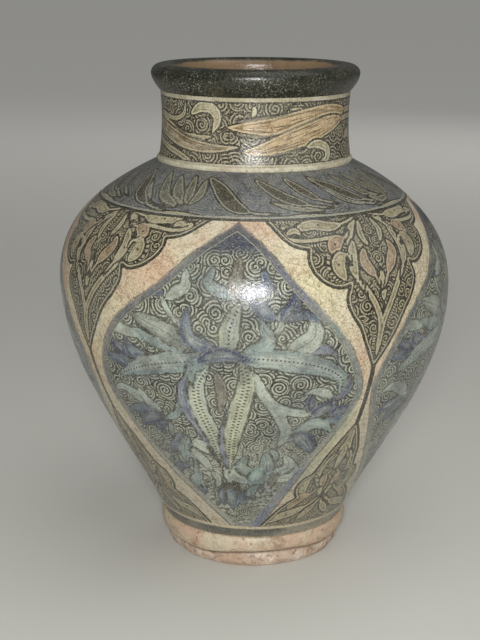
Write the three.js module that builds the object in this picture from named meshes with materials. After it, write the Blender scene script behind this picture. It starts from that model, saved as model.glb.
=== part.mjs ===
// A storage jar of fired stonepaste, built the way a potter builds it: in sections that are thrown
// or rolled apart and then luted (stuck with wet slip) on top of each other.
// From the bottom up: a rolled foot ring, a foot collar, a bowl that is the lower half of the body,
// a dome that is the upper half, a thin coil round the root of the neck, the neck and the rim.
// Each section is a closed profile turned about the Z axis.
// Millimetres, +Z up, origin on the floor at the middle of the foot.

import * as THREE from "three";

// Heights above the floor.
const collarHeight = 9.5; // underside of the foot collar, which sits on the foot ring
const bowlHeight = 23.5; // underside of the bowl, which sits on the foot collar
const bellyHeight = 189; // widest level, where the bowl and the dome meet
const shoulderHeight = 268; // top of the dome, where the neck stands
const totalHeight = 330;
const rimHeight = 17; // how much of it is the rim
const neckTopHeight = totalHeight - rimHeight; // where the rim sits on the neck

// Outside radii.
const footRestRadius = 55.5; // outer edge of the flat that touches the floor
const footRingRadius = 60;
const collarRadius = 64.5;
const bowlFootRadius = 62.6;
const bellyRadius = 130.5;
const neckRootRadius = 63;
const neckWaistRadius = 61.3;
const neckTopRadius = 62;
const rimRadius = 68;
const rimCrestRadius = 61.2; // outer edge of the flat land on top of the rim

// Walls and bores.
const bodyWall = 8;
const floorThickness = 9;
const neckBore = 52.5; // radius inside the neck
const footBore = 44; // radius of the hollow under the foot
const crestLand = 2.6; // width of the flat land on top of the rim
const mouthBevelDepth = 6; // how far the rim slopes down from the land to the bore

// How the body's curve leaves its ends: angles, and the lengths of the Bezier handles.
const bowlFlareAngle = THREE.MathUtils.degToRad(24);
const bowlFootHandle = 60.6;
const bowlBellyHandle = 61.8;
const domeSlopeAngle = THREE.MathUtils.degToRad(26.4);
const domeBellyHandle = 43;
const domeNeckHandle = 32.8;

// The coil that hides the joint of neck and dome.
const coilHeight = 3.2;
const coilWidth = 1.6;

// Lap joints: the lower section ends in a tongue on its inner half, which the upper one covers.
const tongueHeight = 4;
const jointGap = 0.3;

const roundSegments = 60;
const bodySteps = 10;
const roundSteps = 4;

const at = (radius, height) => new THREE.Vector2(radius, height);

// A quarter of an ellipse between two points, which leaves the first one upright or level.
function quarterRound(from, to, leaves) {
  const points = [];
  for (let i = 0; i <= roundSteps; i++) {
    const angle = (i / roundSteps) * (Math.PI / 2);
    const slow = 1 - Math.cos(angle);
    const quick = Math.sin(angle);
    const [across, up] = leaves === "upright" ? [slow, quick] : [quick, slow];
    points.push(at(from.x + (to.x - from.x) * across, from.y + (to.y - from.y) * up));
  }
  return points;
}

// Points on a curve moved inwards by the wall, square to the surface.
function insideOf(curve, wall) {
  const points = [];
  for (let i = 0; i <= bodySteps; i++) {
    const outside = curve.getPoint(i / bodySteps);
    const along = curve.getTangent(i / bodySteps);
    points.push(at(outside.x - along.y * wall, outside.y + along.x * wall));
  }
  return points;
}

// The middle of a wall, where the upright face of its lap joint runs: the tongue's face lies half
// the gap inside it and the cover's face half the gap outside.
function lapJoint(insideRadius, outsideRadius) {
  const middle = (insideRadius + outsideRadius) / 2;
  return { tongue: middle - jointGap / 2, cover: middle + jointGap / 2 };
}

const bellyInside = bellyRadius - bodyWall;
const bellyJoint = lapJoint(bellyInside, bellyRadius);
const rootJoint = lapJoint(neckBore, neckRootRadius);
const rimJoint = lapJoint(neckBore, neckTopRadius);
const domeTopRadius = neckRootRadius + coilWidth;

const bowlCurve = new THREE.CubicBezierCurve(
  at(bowlFootRadius, bowlHeight),
  at(
    bowlFootRadius + bowlFootHandle * Math.sin(bowlFlareAngle),
    bowlHeight + bowlFootHandle * Math.cos(bowlFlareAngle),
  ),
  at(bellyRadius, bellyHeight - bowlBellyHandle),
  at(bellyRadius, bellyHeight),
);

const domeCurve = new THREE.CubicBezierCurve(
  at(bellyRadius, bellyHeight),
  at(bellyRadius, bellyHeight + domeBellyHandle),
  at(
    domeTopRadius + domeNeckHandle * Math.cos(domeSlopeAngle),
    shoulderHeight - domeNeckHandle * Math.sin(domeSlopeAngle),
  ),
  at(domeTopRadius, shoulderHeight),
);

// The unglazed ring that touches the floor.
function footRing() {
  const widest = at(footRingRadius, collarHeight * 0.6);
  return [
    at(footBore, 0),
    ...quarterRound(at(footRestRadius, 0), widest, "level"),
    at(footRingRadius, collarHeight),
    at(footBore, collarHeight),
  ];
}

// A rounded collar, widest near its top, which bears on the foot ring.
function footCollar() {
  const widest = at(collarRadius, bowlHeight - (bowlHeight - collarHeight) / 3);
  return [
    at(footBore, collarHeight),
    ...quarterRound(at(footRingRadius, collarHeight), widest, "level"),
    ...quarterRound(widest, at(bowlFootRadius, bowlHeight), "upright").slice(1),
    at(footBore, bowlHeight),
  ];
}

// The lower half of the body, with the floor.
function lowerBowl() {
  const floorTop = bowlHeight + floorThickness;
  const inside = insideOf(bowlCurve, bodyWall)
    .filter((p) => p.y > floorTop + floorThickness)
    .reverse();
  const lowest = inside[inside.length - 1];
  return [
    at(0, bowlHeight),
    ...bowlCurve.getPoints(bodySteps),
    at(bellyJoint.tongue, bellyHeight),
    at(bellyJoint.tongue, bellyHeight + tongueHeight),
    at(bellyInside, bellyHeight + tongueHeight),
    ...inside,
    ...quarterRound(lowest, at(lowest.x - floorThickness, floorTop), "upright").slice(1),
    at(0, floorTop),
  ];
}

// The upper half of the body, with the ledge that the neck and its coil stand on.
function upperDome() {
  const rebate = bellyHeight + tongueHeight + jointGap;
  const socket = shoulderHeight - tongueHeight - jointGap;
  const underside = socket - bodyWall;
  const inside = insideOf(domeCurve, bodyWall)
    .filter((p) => p.y > rebate + tongueHeight && p.y < underside)
    .reverse();
  return [
    at(bellyJoint.cover, bellyHeight),
    ...domeCurve.getPoints(bodySteps),
    at(rootJoint.cover, shoulderHeight),
    at(rootJoint.cover, socket),
    at(neckBore, socket),
    at(neckBore, underside),
    ...inside,
    at(bellyInside, rebate),
    at(bellyJoint.cover, rebate),
  ];
}

// A half-round coil on the dome's ledge, just clear of the neck.
function neckCoil() {
  const inner = neckRootRadius + jointGap;
  const middle = at(domeTopRadius, shoulderHeight + coilHeight / 2);
  return [
    at(inner, shoulderHeight),
    at(domeTopRadius - coilWidth / 4, shoulderHeight),
    middle,
    at(domeTopRadius - coilWidth / 4, shoulderHeight + coilHeight * 0.85),
    at(inner, shoulderHeight + coilHeight),
  ];
}

// A slightly waisted tube, with a spigot down into the dome and a tongue up into the rim.
function neck() {
  const straight = shoulderHeight + coilHeight;
  const waist = new THREE.QuadraticBezierCurve(
    at(neckRootRadius, straight),
    at(2 * neckWaistRadius - (neckRootRadius + neckTopRadius) / 2, (straight + neckTopHeight) / 2),
    at(neckTopRadius, neckTopHeight),
  );
  return [
    at(neckBore, shoulderHeight - tongueHeight),
    at(rootJoint.tongue, shoulderHeight - tongueHeight),
    at(rootJoint.tongue, shoulderHeight),
    at(neckRootRadius, shoulderHeight),
    ...waist.getPoints(roundSteps + 2),
    at(rimJoint.tongue, neckTopHeight),
    at(rimJoint.tongue, neckTopHeight + tongueHeight),
    at(neckBore, neckTopHeight + tongueHeight),
  ];
}

// A thick everted lip: a sloping underside, a rounded edge, a narrow flat land and a bevel inwards.
function rim() {
  const rebate = neckTopHeight + tongueHeight + jointGap;
  const edge = at(rimRadius, totalHeight - rimHeight / 3);
  const underside = new THREE.QuadraticBezierCurve(
    at(neckTopRadius, neckTopHeight),
    at(rimRadius, neckTopHeight + rimHeight * 0.4),
    edge,
  );
  const landInner = at(rimCrestRadius - crestLand, totalHeight);
  return [
    at(rimJoint.cover, neckTopHeight),
    ...underside.getPoints(roundSteps),
    ...quarterRound(edge, at(rimCrestRadius, totalHeight), "upright").slice(1),
    ...quarterRound(landInner, at(neckBore, totalHeight - mouthBevelDepth), "level"),
    at(neckBore, rebate),
    at(rimJoint.cover, rebate),
  ];
}

// Turns a profile about the Z axis. A profile that doesn't end on the axis is closed first.
function turned(name, profile, colour, roughness) {
  const last = profile[profile.length - 1];
  const outline = last.x === 0 ? profile : [...profile, profile[0].clone()];
  const geometry = new THREE.LatheGeometry(outline, roundSegments);
  geometry.rotateX(Math.PI / 2);
  const material = new THREE.MeshStandardMaterial({ color: colour, roughness, metalness: 0 });
  const mesh = new THREE.Mesh(geometry, material);
  mesh.name = name;
  return mesh;
}

const bareClay = "#c3a894";
const glazedCream = "#b9b29b";
const glazedBlue = "#7d8790";
const glazedBlack = "#3a3a36";

const jar = new THREE.Group();
jar.name = "storage_jar";
jar.add(
  turned("foot_ring", footRing(), bareClay, 0.85),
  turned("foot_collar", footCollar(), glazedCream, 0.5),
  turned("lower_bowl", lowerBowl(), glazedBlue, 0.35),
  turned("upper_dome", upperDome(), glazedBlue, 0.35),
  turned("neck_coil", neckCoil(), glazedCream, 0.35),
  turned("neck", neck(), glazedCream, 0.35),
  turned("rim", rim(), glazedBlack, 0.3),
);

export default jar;
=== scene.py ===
import math
from functools import partial, reduce

import bmesh
import bpy
import numpy as np
from mathutils import Matrix, Vector


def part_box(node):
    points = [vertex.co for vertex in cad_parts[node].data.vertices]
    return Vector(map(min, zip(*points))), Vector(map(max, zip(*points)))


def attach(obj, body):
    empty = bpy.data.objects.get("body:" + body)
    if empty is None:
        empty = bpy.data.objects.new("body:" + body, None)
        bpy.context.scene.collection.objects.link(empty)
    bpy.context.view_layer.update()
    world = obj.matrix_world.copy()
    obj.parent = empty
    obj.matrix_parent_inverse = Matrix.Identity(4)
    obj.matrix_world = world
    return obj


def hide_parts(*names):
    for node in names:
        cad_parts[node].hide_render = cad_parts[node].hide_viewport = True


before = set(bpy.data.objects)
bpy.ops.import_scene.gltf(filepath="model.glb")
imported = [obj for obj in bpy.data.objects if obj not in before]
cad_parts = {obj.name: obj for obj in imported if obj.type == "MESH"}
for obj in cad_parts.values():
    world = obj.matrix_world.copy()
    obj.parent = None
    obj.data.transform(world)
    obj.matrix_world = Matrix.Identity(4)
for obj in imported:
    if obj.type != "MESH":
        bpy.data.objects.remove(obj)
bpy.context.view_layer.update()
print("frame loaded:", len(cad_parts), "nodes")

mm = 0.001
rng = np.random.default_rng(11)

# The camera, worked out from the ellipses of the rim and the foot in the photograph
view = {
    "standOff": 0.839,  # from the jar's axis to the lens
    "height": 0.38645,
    "sideways": -0.0096,
    "pitch": 15.32,  # degrees below level
    "roll": 0.266,
    "lens": 71.3,
}


def link(name, data):
    thing = bpy.data.objects.new(name, data)
    bpy.context.scene.collection.objects.link(thing)
    return thing


def makeCamera():
    data = bpy.data.cameras.new("camera")
    data.lens = view["lens"]
    data.clip_start = 0.01
    camera = link("camera", data)
    place = Matrix.Translation((view["sideways"], -view["standOff"], view["height"]))
    tilt = Matrix.Rotation(math.radians(90 - view["pitch"]), 4, "X")
    camera.matrix_world = place @ tilt @ Matrix.Rotation(math.radians(view["roll"]), 4, "Z")
    bpy.context.scene.camera = camera


makeCamera()
print("camera set")


def low(node):
    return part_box(node)[0][2] / mm


def high(node):
    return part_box(node)[1][2] / mm


def reach(node):
    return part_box(node)[1][0] / mm


# The turned shape, in millimetres. What the frame holds is read from it.
shape = {
    "collarBase": low("foot_collar"),
    "bowlBase": low("lower_bowl"),
    "belly": low("upper_dome"),
    "shoulder": high("upper_dome"),
    "neckTop": low("rim"),
    "top": high("rim"),
    "restRadius": 55.5,
    "ringRadius": reach("foot_ring"),
    "collarRadius": reach("foot_collar"),
    "bowlFootRadius": 62.6,
    "bellyRadius": reach("upper_dome"),
    "coilRadius": reach("neck_coil"),
    "neckRootRadius": 63.0,
    "neckWaistRadius": 61.3,
    "neckTopRadius": 62.0,
    "rimRadius": reach("rim"),
    "crestRadius": 61.2,
    "crestLand": 2.6,
    "mouthBevel": 6.0,
    "neckBore": 52.5,
    "footBore": 44.0,
    "wall": 8.0,
    "floor": 9.0,
    "lap": 4.0,
    "gap": 0.3,
    "coilHeight": 3.2,
    "coilGap": 0.1,
    "coilWaist": 1.4,  # how far up the coil is widest
    "footChamfer": 1.2,
    "ringTaper": 0.2,
    "bowlFlare": 24.0,  # degrees out of upright, where the bowl leaves the foot
    "bowlFootHandle": 60.6,
    "bowlBellyHandle": 61.8,
    "domeSlope": 26.4,  # degrees out of level, where the dome meets the neck
    "domeBellyHandle": 43.0,
    "domeNeckHandle": 32.8,
}
# How far apart a profile's points are set
spacing = {
    "bowl": 1.3,
    "dome": 1.2,
    "neck": 0.6,
    "rim": 0.7,
    "land": 0.9,
    "mouth": 1.6,
    "rest": 1.5,
    "ring": 0.8,
    "footBore": 2,
    "neckBore": 3,
    "joint": 4,
    "domeInside": 6,
    "bowlInside": 12,
    "flat": 16,
}


def bezier(points, count=160):
    t = np.linspace(0, 1, count)[:, None]
    p = np.array(points, float)
    if len(p) == 3:
        return (1 - t) ** 2 * p[0] + 2 * (1 - t) * t * p[1] + t * t * p[2]
    ends = (1 - t) ** 3 * p[0] + t**3 * p[3]
    return ends + 3 * (1 - t) ** 2 * t * p[1] + 3 * (1 - t) * t * t * p[2]


def lengthAlong(points):
    steps = np.hypot(*np.diff(points, axis=0).T)
    return np.concatenate([[0], np.cumsum(steps)])


def evenly(points, step):
    points = np.array(points, float)
    along = lengthAlong(points)
    count = max(2, int(round(along[-1] / step)) + 1)
    where = np.linspace(0, along[-1], count)
    return np.column_stack([np.interp(where, along, points[:, axis]) for axis in (0, 1)])


def quarterRound(start, end, leaves, count=10):
    angle = np.linspace(0, math.pi / 2, count)
    slow, quick = 1 - np.cos(angle), np.sin(angle)
    across, up = (slow, quick) if leaves == "upright" else (quick, slow)
    x = start[0] + (end[0] - start[0]) * across
    return np.column_stack([x, start[1] + (end[1] - start[1]) * up])


def inset(points, wall):
    way = np.gradient(points, axis=0)
    way /= np.linalg.norm(way, axis=1)[:, None]
    return points + wall * np.column_stack([-way[:, 1], way[:, 0]])


flare, slope = math.radians(shape["bowlFlare"]), math.radians(shape["domeSlope"])
bowlCurve = bezier([
    (shape["bowlFootRadius"], shape["bowlBase"]),
    (
        shape["bowlFootRadius"] + shape["bowlFootHandle"] * math.sin(flare),
        shape["bowlBase"] + shape["bowlFootHandle"] * math.cos(flare),
    ),
    (shape["bellyRadius"], shape["belly"] - shape["bowlBellyHandle"]),
    (shape["bellyRadius"], shape["belly"]),
])
domeCurve = bezier([
    (shape["bellyRadius"], shape["belly"]),
    (shape["bellyRadius"], shape["belly"] + shape["domeBellyHandle"]),
    (
        shape["coilRadius"] + shape["domeNeckHandle"] * math.cos(slope),
        shape["shoulder"] - shape["domeNeckHandle"] * math.sin(slope),
    ),
    (shape["coilRadius"], shape["shoulder"]),
])
neckRise = shape["neckTop"] - shape["shoulder"] - shape["coilHeight"]
neckCurve = np.vstack([
    [(shape["neckRootRadius"], shape["shoulder"])],
    bezier([
        (shape["neckRootRadius"], shape["neckTop"] - neckRise),
        (
            2 * shape["neckWaistRadius"] - (shape["neckRootRadius"] + shape["neckTopRadius"]) / 2,
            shape["neckTop"] - neckRise / 2,
        ),
        (shape["neckTopRadius"], shape["neckTop"]),
    ]),
])
bodyCurve = np.vstack([bowlCurve, domeCurve[1:]])


def lapFace(outer, side):
    # the upright face in the middle of a lap joint's wall: side -1 is the tongue, 1 the cover
    return (outer[0] + outer[1]) / 2 + side * shape["gap"] / 2


bellyInside = shape["bellyRadius"] - shape["wall"]
bellyWall = (bellyInside, shape["bellyRadius"])
rootWall = (shape["neckBore"], shape["neckRootRadius"])
rimWall = (shape["neckBore"], shape["neckTopRadius"])


def ringProfile():
    bore, top, chamfer = shape["footBore"], shape["collarBase"], shape["footChamfer"]
    rest, widest = (shape["restRadius"], 0), (shape["ringRadius"], top * 0.6)
    edge = (shape["ringRadius"] - shape["ringTaper"], top)
    return [
        evenly([(bore + chamfer, 0), rest], spacing["rest"]),
        quarterRound(rest, widest, "level", 16),
        evenly([widest, edge], spacing["ring"]),
        evenly([edge, (bore, top)], spacing["joint"]),
        evenly([(bore, top), (bore, chamfer)], spacing["footBore"]),
        [(bore, chamfer), (bore + chamfer, 0)],
    ]


def collarProfile():
    bore, base, top = shape["footBore"], shape["collarBase"], shape["bowlBase"]
    widest = (shape["collarRadius"], top - (top - base) / 3)
    foot, edge = (shape["ringRadius"], base), (shape["bowlFootRadius"], top)
    flats = [edge, (bore, top), (bore, base), foot]
    return [
        quarterRound(foot, widest, "level", 18),
        quarterRound(widest, edge, "upright", 10),
        *[evenly(flat, spacing["joint"]) for flat in zip(flats, flats[1:])],
    ]


def bowlProfile():
    floorTop = shape["bowlBase"] + shape["floor"]
    inside = inset(bowlCurve, shape["wall"])
    inside = inside[inside[:, 1] > floorTop + shape["floor"]][::-1]
    foot = (inside[-1][0] - shape["floor"], floorTop)
    belly, lapTop = shape["belly"], shape["belly"] + shape["lap"]
    tongue = lapFace(bellyWall, -1)
    return [
        evenly([(0, shape["bowlBase"]), (shape["bowlFootRadius"], shape["bowlBase"])], spacing["flat"]),
        evenly(bowlCurve, spacing["bowl"]),
        [(shape["bellyRadius"], belly), (tongue, belly), (tongue, lapTop), (bellyInside, lapTop)],
        evenly(np.vstack([[(bellyInside, lapTop)], inside]), spacing["bowlInside"]),
        quarterRound(inside[-1], foot, "upright", 5),
        evenly([foot, (0, floorTop)], spacing["flat"]),
    ]


def domeProfile():
    rebate = shape["belly"] + shape["lap"] + shape["gap"]
    socket = shape["shoulder"] - shape["lap"] - shape["gap"]
    under = socket - shape["wall"]
    inside = inset(domeCurve, shape["wall"])
    inside = inside[(inside[:, 1] > rebate + 1) & (inside[:, 1] < under)][::-1]
    bore, cover, lap = shape["neckBore"], lapFace(rootWall, 1), lapFace(bellyWall, 1)
    return [
        evenly(domeCurve, spacing["dome"]),
        [(cover, shape["shoulder"]), (cover, socket), (bore, socket)],
        evenly([(bore, socket), (bore, under)], spacing["neckBore"]),
        evenly(np.vstack([[(bore, under)], inside, [(bellyInside, rebate)]]), spacing["domeInside"]),
        [(lap, rebate), (lap, shape["belly"]), (shape["bellyRadius"], shape["belly"])],
    ]


def coilProfile():
    inner, base = shape["neckRootRadius"] + shape["coilGap"], shape["shoulder"]
    foot, middle = (shape["coilRadius"] - 0.4, base), (shape["coilRadius"], base + shape["coilWaist"])
    return [
        quarterRound(foot, middle, "level", 7),
        quarterRound(middle, (inner, base + shape["coilHeight"]), "upright", 9),
        [(inner, base), foot],
    ]


def neckProfile():
    bore, root, top = shape["neckBore"], shape["shoulder"], shape["neckTop"]
    tongue, spigot = lapFace(rimWall, -1), lapFace(rootWall, -1)
    highest, lowest = top + shape["lap"], root - shape["lap"]
    return [
        evenly(neckCurve, spacing["neck"]),
        [(tongue, top), (tongue, highest), (bore, highest)],
        evenly([(bore, highest), (bore, lowest)], spacing["neckBore"]),
        [(spigot, lowest), (spigot, root), (shape["neckRootRadius"], root)],
    ]


def rimProfile():
    base, top, bore = shape["neckTop"], shape["top"], shape["neckBore"]
    edge = (shape["rimRadius"], top - (top - base) / 3)
    bulge = (shape["rimRadius"], base + (top - base) * 0.4)
    rebate = base + shape["lap"] + shape["gap"]
    crest = (shape["crestRadius"], top)
    land, mouth = (shape["crestRadius"] - shape["crestLand"], top), (bore, top - shape["mouthBevel"])
    cover, foot = lapFace(rimWall, 1), (shape["neckTopRadius"], base)
    return [
        evenly(bezier([foot, bulge, edge]), spacing["rim"]),
        quarterRound(edge, crest, "upright", 18),
        evenly([crest, land], spacing["land"]),
        quarterRound(land, mouth, "level", 12),
        evenly([mouth, (bore, rebate)], spacing["mouth"]),
        [(cover, rebate), (cover, base), foot],
    ]


desk = {"tree": None}  # the node tree that put adds to


def addSocket(name, kind, value=None, way="INPUT"):
    sockets = desk["tree"].interface
    item = sockets.new_socket(name=name, in_out=way, socket_type="NodeSocket" + kind)
    if value is not None:
        item.default_value = value
    return item.identifier


def feed(socket, value):
    if isinstance(value, bpy.types.NodeSocket):
        desk["tree"].links.new(value, socket)
    elif value is not None:
        socket.default_value = value


# settings are the node's own properties, inputs its sockets by name or number
def put(kind, inputs=None, **settings):
    node = desk["tree"].nodes.new(kind)
    for name, value in settings.items():
        setattr(node, name, value)
    for key, value in (inputs or {}).items():
        feed(node.inputs[key], value)
    return node


def calc(operation, *values):
    return put("ShaderNodeMath", dict(enumerate(values)), operation=operation).outputs[0]


def times(*masks):
    return reduce(partial(calc, "MULTIPLY"), masks)


def vectors(operation, *values, scale=None):
    node = put("ShaderNodeVectorMath", dict(enumerate(values)), operation=operation)
    if scale is not None:
        feed(node.inputs["Scale"], scale)
    return node.outputs["Value" if operation == "LENGTH" else "Vector"]


def combine(x=0.0, y=0.0, z=0.0):
    return put("ShaderNodeCombineXYZ", {0: x, 1: y, 2: z}).outputs[0]


def split(vector):
    return put("ShaderNodeSeparateXYZ", {0: vector}).outputs


# Geometry Nodes: a profile turned about the axis
turning = {
    "seam": 125.0,  # degrees to the right of the front, where the pattern's map is cut
    "unevenness": 0.6,  # how far the hand-thrown wall wanders, in mm
    "wander": 11.0,  # how often it does, per metre
    "lumps": 0.14,  # smaller ones on top, in mm
    "lumpScale": 75.0,  # per metre
    "seed": 7.0,
    "weld": 1e-6,  # points closer than this are one, in metres
    "sharpFrom": 50.0,  # degrees
    "leastRadius": 20.0,  # in mm: within it the map no longer keeps angles
}
turningInputs = {
    "Profile": ("Geometry",),
    "Columns": ("Int", 360),
    "Seam": ("Float", 0.0),
    "Unevenness": ("Float", 0.0),
    "Wander": ("Float", 10.0),
    "Lumps": ("Float", 0.0),
    "Lump Scale": ("Float", 80.0),
    "Seed": ("Float", 0.0),
    "Glaze": ("Material",),
}


def makeTurningTree():
    desk["tree"] = bpy.data.node_groups.new("turnedClay", "GeometryNodeTree")
    sockets = {name: addSocket(name, *kind) for name, kind in turningInputs.items()}
    addSocket("Turned", "Geometry", way="OUTPUT")
    given = put("NodeGroupInput").outputs
    size = put("GeometryNodeAttributeDomainSize", {0: given["Profile"]}, component="MESH")
    rows = size.outputs["Point Count"]
    across = calc("ADD", given["Columns"], 1.0)
    grid = put("GeometryNodeMeshGrid", {"Vertices X": across, "Vertices Y": rows})
    index = put("GeometryNodeInputIndex").outputs[0]
    row = calc("MODULO", index, rows)
    column = calc("FLOOR", calc("DIVIDE", calc("ADD", index, 0.5), rows))
    part = calc("DIVIDE", column, given["Columns"])
    angle = calc("MULTIPLY_ADD", part, math.tau, given["Seam"])
    out = combine(calc("SINE", angle), times(calc("COSINE", angle), -1.0))

    def fromProfile(field, kind):
        inputs = {"Geometry": given["Profile"], "Value": field, "Index": row}
        return put("GeometryNodeSampleIndex", inputs, data_type=kind, domain="POINT").outputs[0]

    place = put("GeometryNodeInputPosition").outputs[0]
    point = split(fromProfile(place, "FLOAT_VECTOR"))
    spot = vectors("ADD", vectors("SCALE", out, scale=point["X"]), combine(z=point["Z"]))
    turned = put("GeometryNodeSetPosition", {0: grid.outputs["Mesh"], "Position": spot})

    def wobble(scale, size):
        inputs = {"Vector": place, "W": given["Seed"], "Scale": scale, "Detail": 1.0}
        sway = put("ShaderNodeTexNoise", inputs, noise_dimensions="4D").outputs["Fac"]
        return times(calc("SUBTRACT", sway, 0.5), size)

    off = wobble(given["Wander"], given["Unevenness"])
    off = calc("ADD", off, wobble(given["Lump Scale"], given["Lumps"]))
    shift = vectors("SCALE", out, scale=off)
    uneven = put("GeometryNodeSetPosition", {0: turned.outputs[0], "Offset": shift})
    rise = put("GeometryNodeInputNamedAttribute", {"Name": "rise"}, data_type="FLOAT").outputs[0]
    wrap = {0: combine(part, fromProfile(rise, "FLOAT"))}
    atPoints = put("GeometryNodeFieldOnDomain", wrap, data_type="FLOAT_VECTOR", domain="POINT")
    wrap = {0: uneven.outputs[0], "Name": "wrap", "Value": atPoints.outputs[0]}
    mapped = put("GeometryNodeStoreNamedAttribute", wrap, data_type="FLOAT2", domain="CORNER")
    weld = {0: mapped.outputs[0], "Distance": turning["weld"]}
    closed = put("GeometryNodeMergeByDistance", weld)
    smooth = put("GeometryNodeSetShadeSmooth", {0: closed.outputs[0]})
    real = put("GeometryNodeRealizeInstances", {0: smooth.outputs[0]})
    glazed = put("GeometryNodeSetMaterial", {0: real.outputs[0], "Material": given["Glaze"]})
    put("NodeGroupOutput", {0: glazed.outputs[0]})
    return desk["tree"], sockets


turningTree, turningSockets = makeTurningTree()


def joined(sections):
    points = np.vstack([np.array(section, float) for section in sections])
    keep = np.concatenate([[True], np.hypot(*np.diff(points, axis=0).T) > turning["weld"]])
    return points[keep]


# Heights along a profile on a map that keeps angles
def riseAlong(points):
    middle = np.maximum(points[:, 0], turning["leastRadius"])
    steps = np.diff(lengthAlong(points)) / ((middle[1:] + middle[:-1]) / 2)
    return np.concatenate([[0], np.cumsum(steps)])


# Turns the profile and returns a plain mesh object
def turned(name, sections, columns, glaze, rough=1.0, lumpScale=turning["lumpScale"]):
    points = joined(sections)
    profile = bpy.data.meshes.new(name + "Profile")
    edges = [(i, i + 1) for i in range(len(points) - 1)]
    profile.from_pydata([(r * mm, 0, z * mm) for r, z in points], edges, [])
    # where a profile that starts on the body's outside lies on the body's map
    start = float(np.interp(points[0][1], bodyCurve[:, 1], riseAlong(bodyCurve)))
    storeField(profile, "rise", (riseAlong(points) + start) / math.tau)
    source = link(name + "Profile", profile)
    modifier = source.modifiers.new("turn", "NODES")
    modifier.node_group = turningTree
    values = {
        "Columns": columns,
        "Seam": math.radians(turning["seam"]),
        "Unevenness": turning["unevenness"] * rough * mm,
        "Wander": turning["wander"],
        "Lumps": turning["lumps"] * rough * mm,
        "Lump Scale": lumpScale,
        "Seed": turning["seed"],
        "Glaze": glaze,
    }
    for key, value in values.items():
        modifier[turningSockets[key]] = value
    graph = bpy.context.evaluated_depsgraph_get()
    mesh = bpy.data.meshes.new_from_object(source.evaluated_get(graph), depsgraph=graph)
    source.modifiers.remove(modifier)
    bpy.data.objects.remove(source)
    shell = bmesh.new()
    shell.from_mesh(mesh)
    bmesh.ops.recalc_face_normals(shell, faces=shell.faces)
    shell.to_mesh(mesh)
    shell.free()
    mesh.set_sharp_from_angle(angle=math.radians(turning["sharpFrom"]))
    mesh.name = name
    return link(name, mesh)


def cornersOf(piece):
    places = np.empty(len(piece.data.vertices) * 3, np.float32)
    piece.data.vertices.foreach_get("co", places)
    return places.reshape(-1, 3).astype(float) / mm


def storeField(mesh, name, values):
    attribute = mesh.attributes.new(name, "FLOAT", "POINT")
    attribute.data.foreach_set("value", np.asarray(values, np.float32))


def turnOf(places):
    return np.degrees(np.arctan2(places[:, 0], -places[:, 1]))


def wrapTurn(turn):
    return (turn + 180) % 360 - 180


# The painter's layout. A place on the body is a turn in degrees from the axis of a motif and a
# climb in millimetres up the outside from the foot, and on the neck from its root.
layout = {
    "panels": (-10.0, 76.6, 168.5, 259.5),  # degrees to the right of the front
    "crests": (34.0, 122.8, 213.6, 304.3),
    "crestLean": 0.06,  # degrees that a crest leans to the right in each mm of climb
    "crestTip": 152.0,
    "crestRules": (("ink", 1.1), ("crestLine", -0.8), ("ink", -1.8)),  # from the outline
    "crestInner": -2.5,
    "crestLift": (1.7, 8.0),  # how far out, in degrees, and up its right half is drawn
    "liftFrom": 8.0,
    "bandCopies": (0, 90, 180, 270),  # turns of the band's painting and the neck's
    "neckCopies": (0, 180),
    "borderWidth": 4.8,
    "borderSwell": 2.6,  # how much wider it is low on the right
    "panelRules": (("ink", 0.2), ("panelLine", -0.2)),  # from the border's inner edge
    "panelInner": -0.8,
    "sideUnit": 30,  # degrees that count as one to the side of a lozenge
    "bandFoot": 249.0,  # where the shoulder band begins
    "bandRules": (247.7, 245.6),  # where a pale line under it begins, and a dark one under that
    "footLine": 10.5,  # top of the dark band over the foot
    "footRule": (8.3, 10.9),
    "footEdge": 0.9,
    "neckTopRules": (3.6, 2.5),  # a dark and a cream line, down from the neck's top
    "neckFootRules": (5.0, 4.3),  # and up from its root
    "looseTurn": 0.5,  # how far the painter's copies stray, in degrees and in mm
    "looseClimb": 0.9,
    "loosePoint": 0.4,  # each point of a stroke by this much of it
    "inkRing": 1.3,  # between a leaf and what it lies over
    "softRing": 0.6,  # the same in a lozenge
    "tail": 0.3,  # how much of a tailed leaf is its thin tail
    "tailWidth": 1.5,
    "eye": 0.62,  # how far along such a leaf its eye sits
    "skin": 2,  # how deep under the outside still counts as painted
    "farOff": 20.0,  # the distance that means no leaf, crest or lozenge is near
    "deepest": -25.0,
    "aroundTurn": 12,  # how far round a stroke distances are measured, in degrees and in mm
    "aroundClimb": 6,
}
edgeFields = ("leafEdge", "panelEdge", "crestEdge")
leafFields = ("leafAlong", "leafAcross", "leafFinish", "panelSide")

# Half of a lozenge's outline on the left and on the right, from the top point to the bottom one
lozengeLeft = [
    (5, 246), (-5, 229), (-18, 202), (-31, 178), (-40, 147), (-41, 125), (-33, 82), (-19, 41), (-1, 6),
]
lozengeRight = [
    (5, 246), (13, 230), (23, 201), (34, 172), (41, 142), (41, 120), (33, 82), (24, 41), (13, 6),
]

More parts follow.
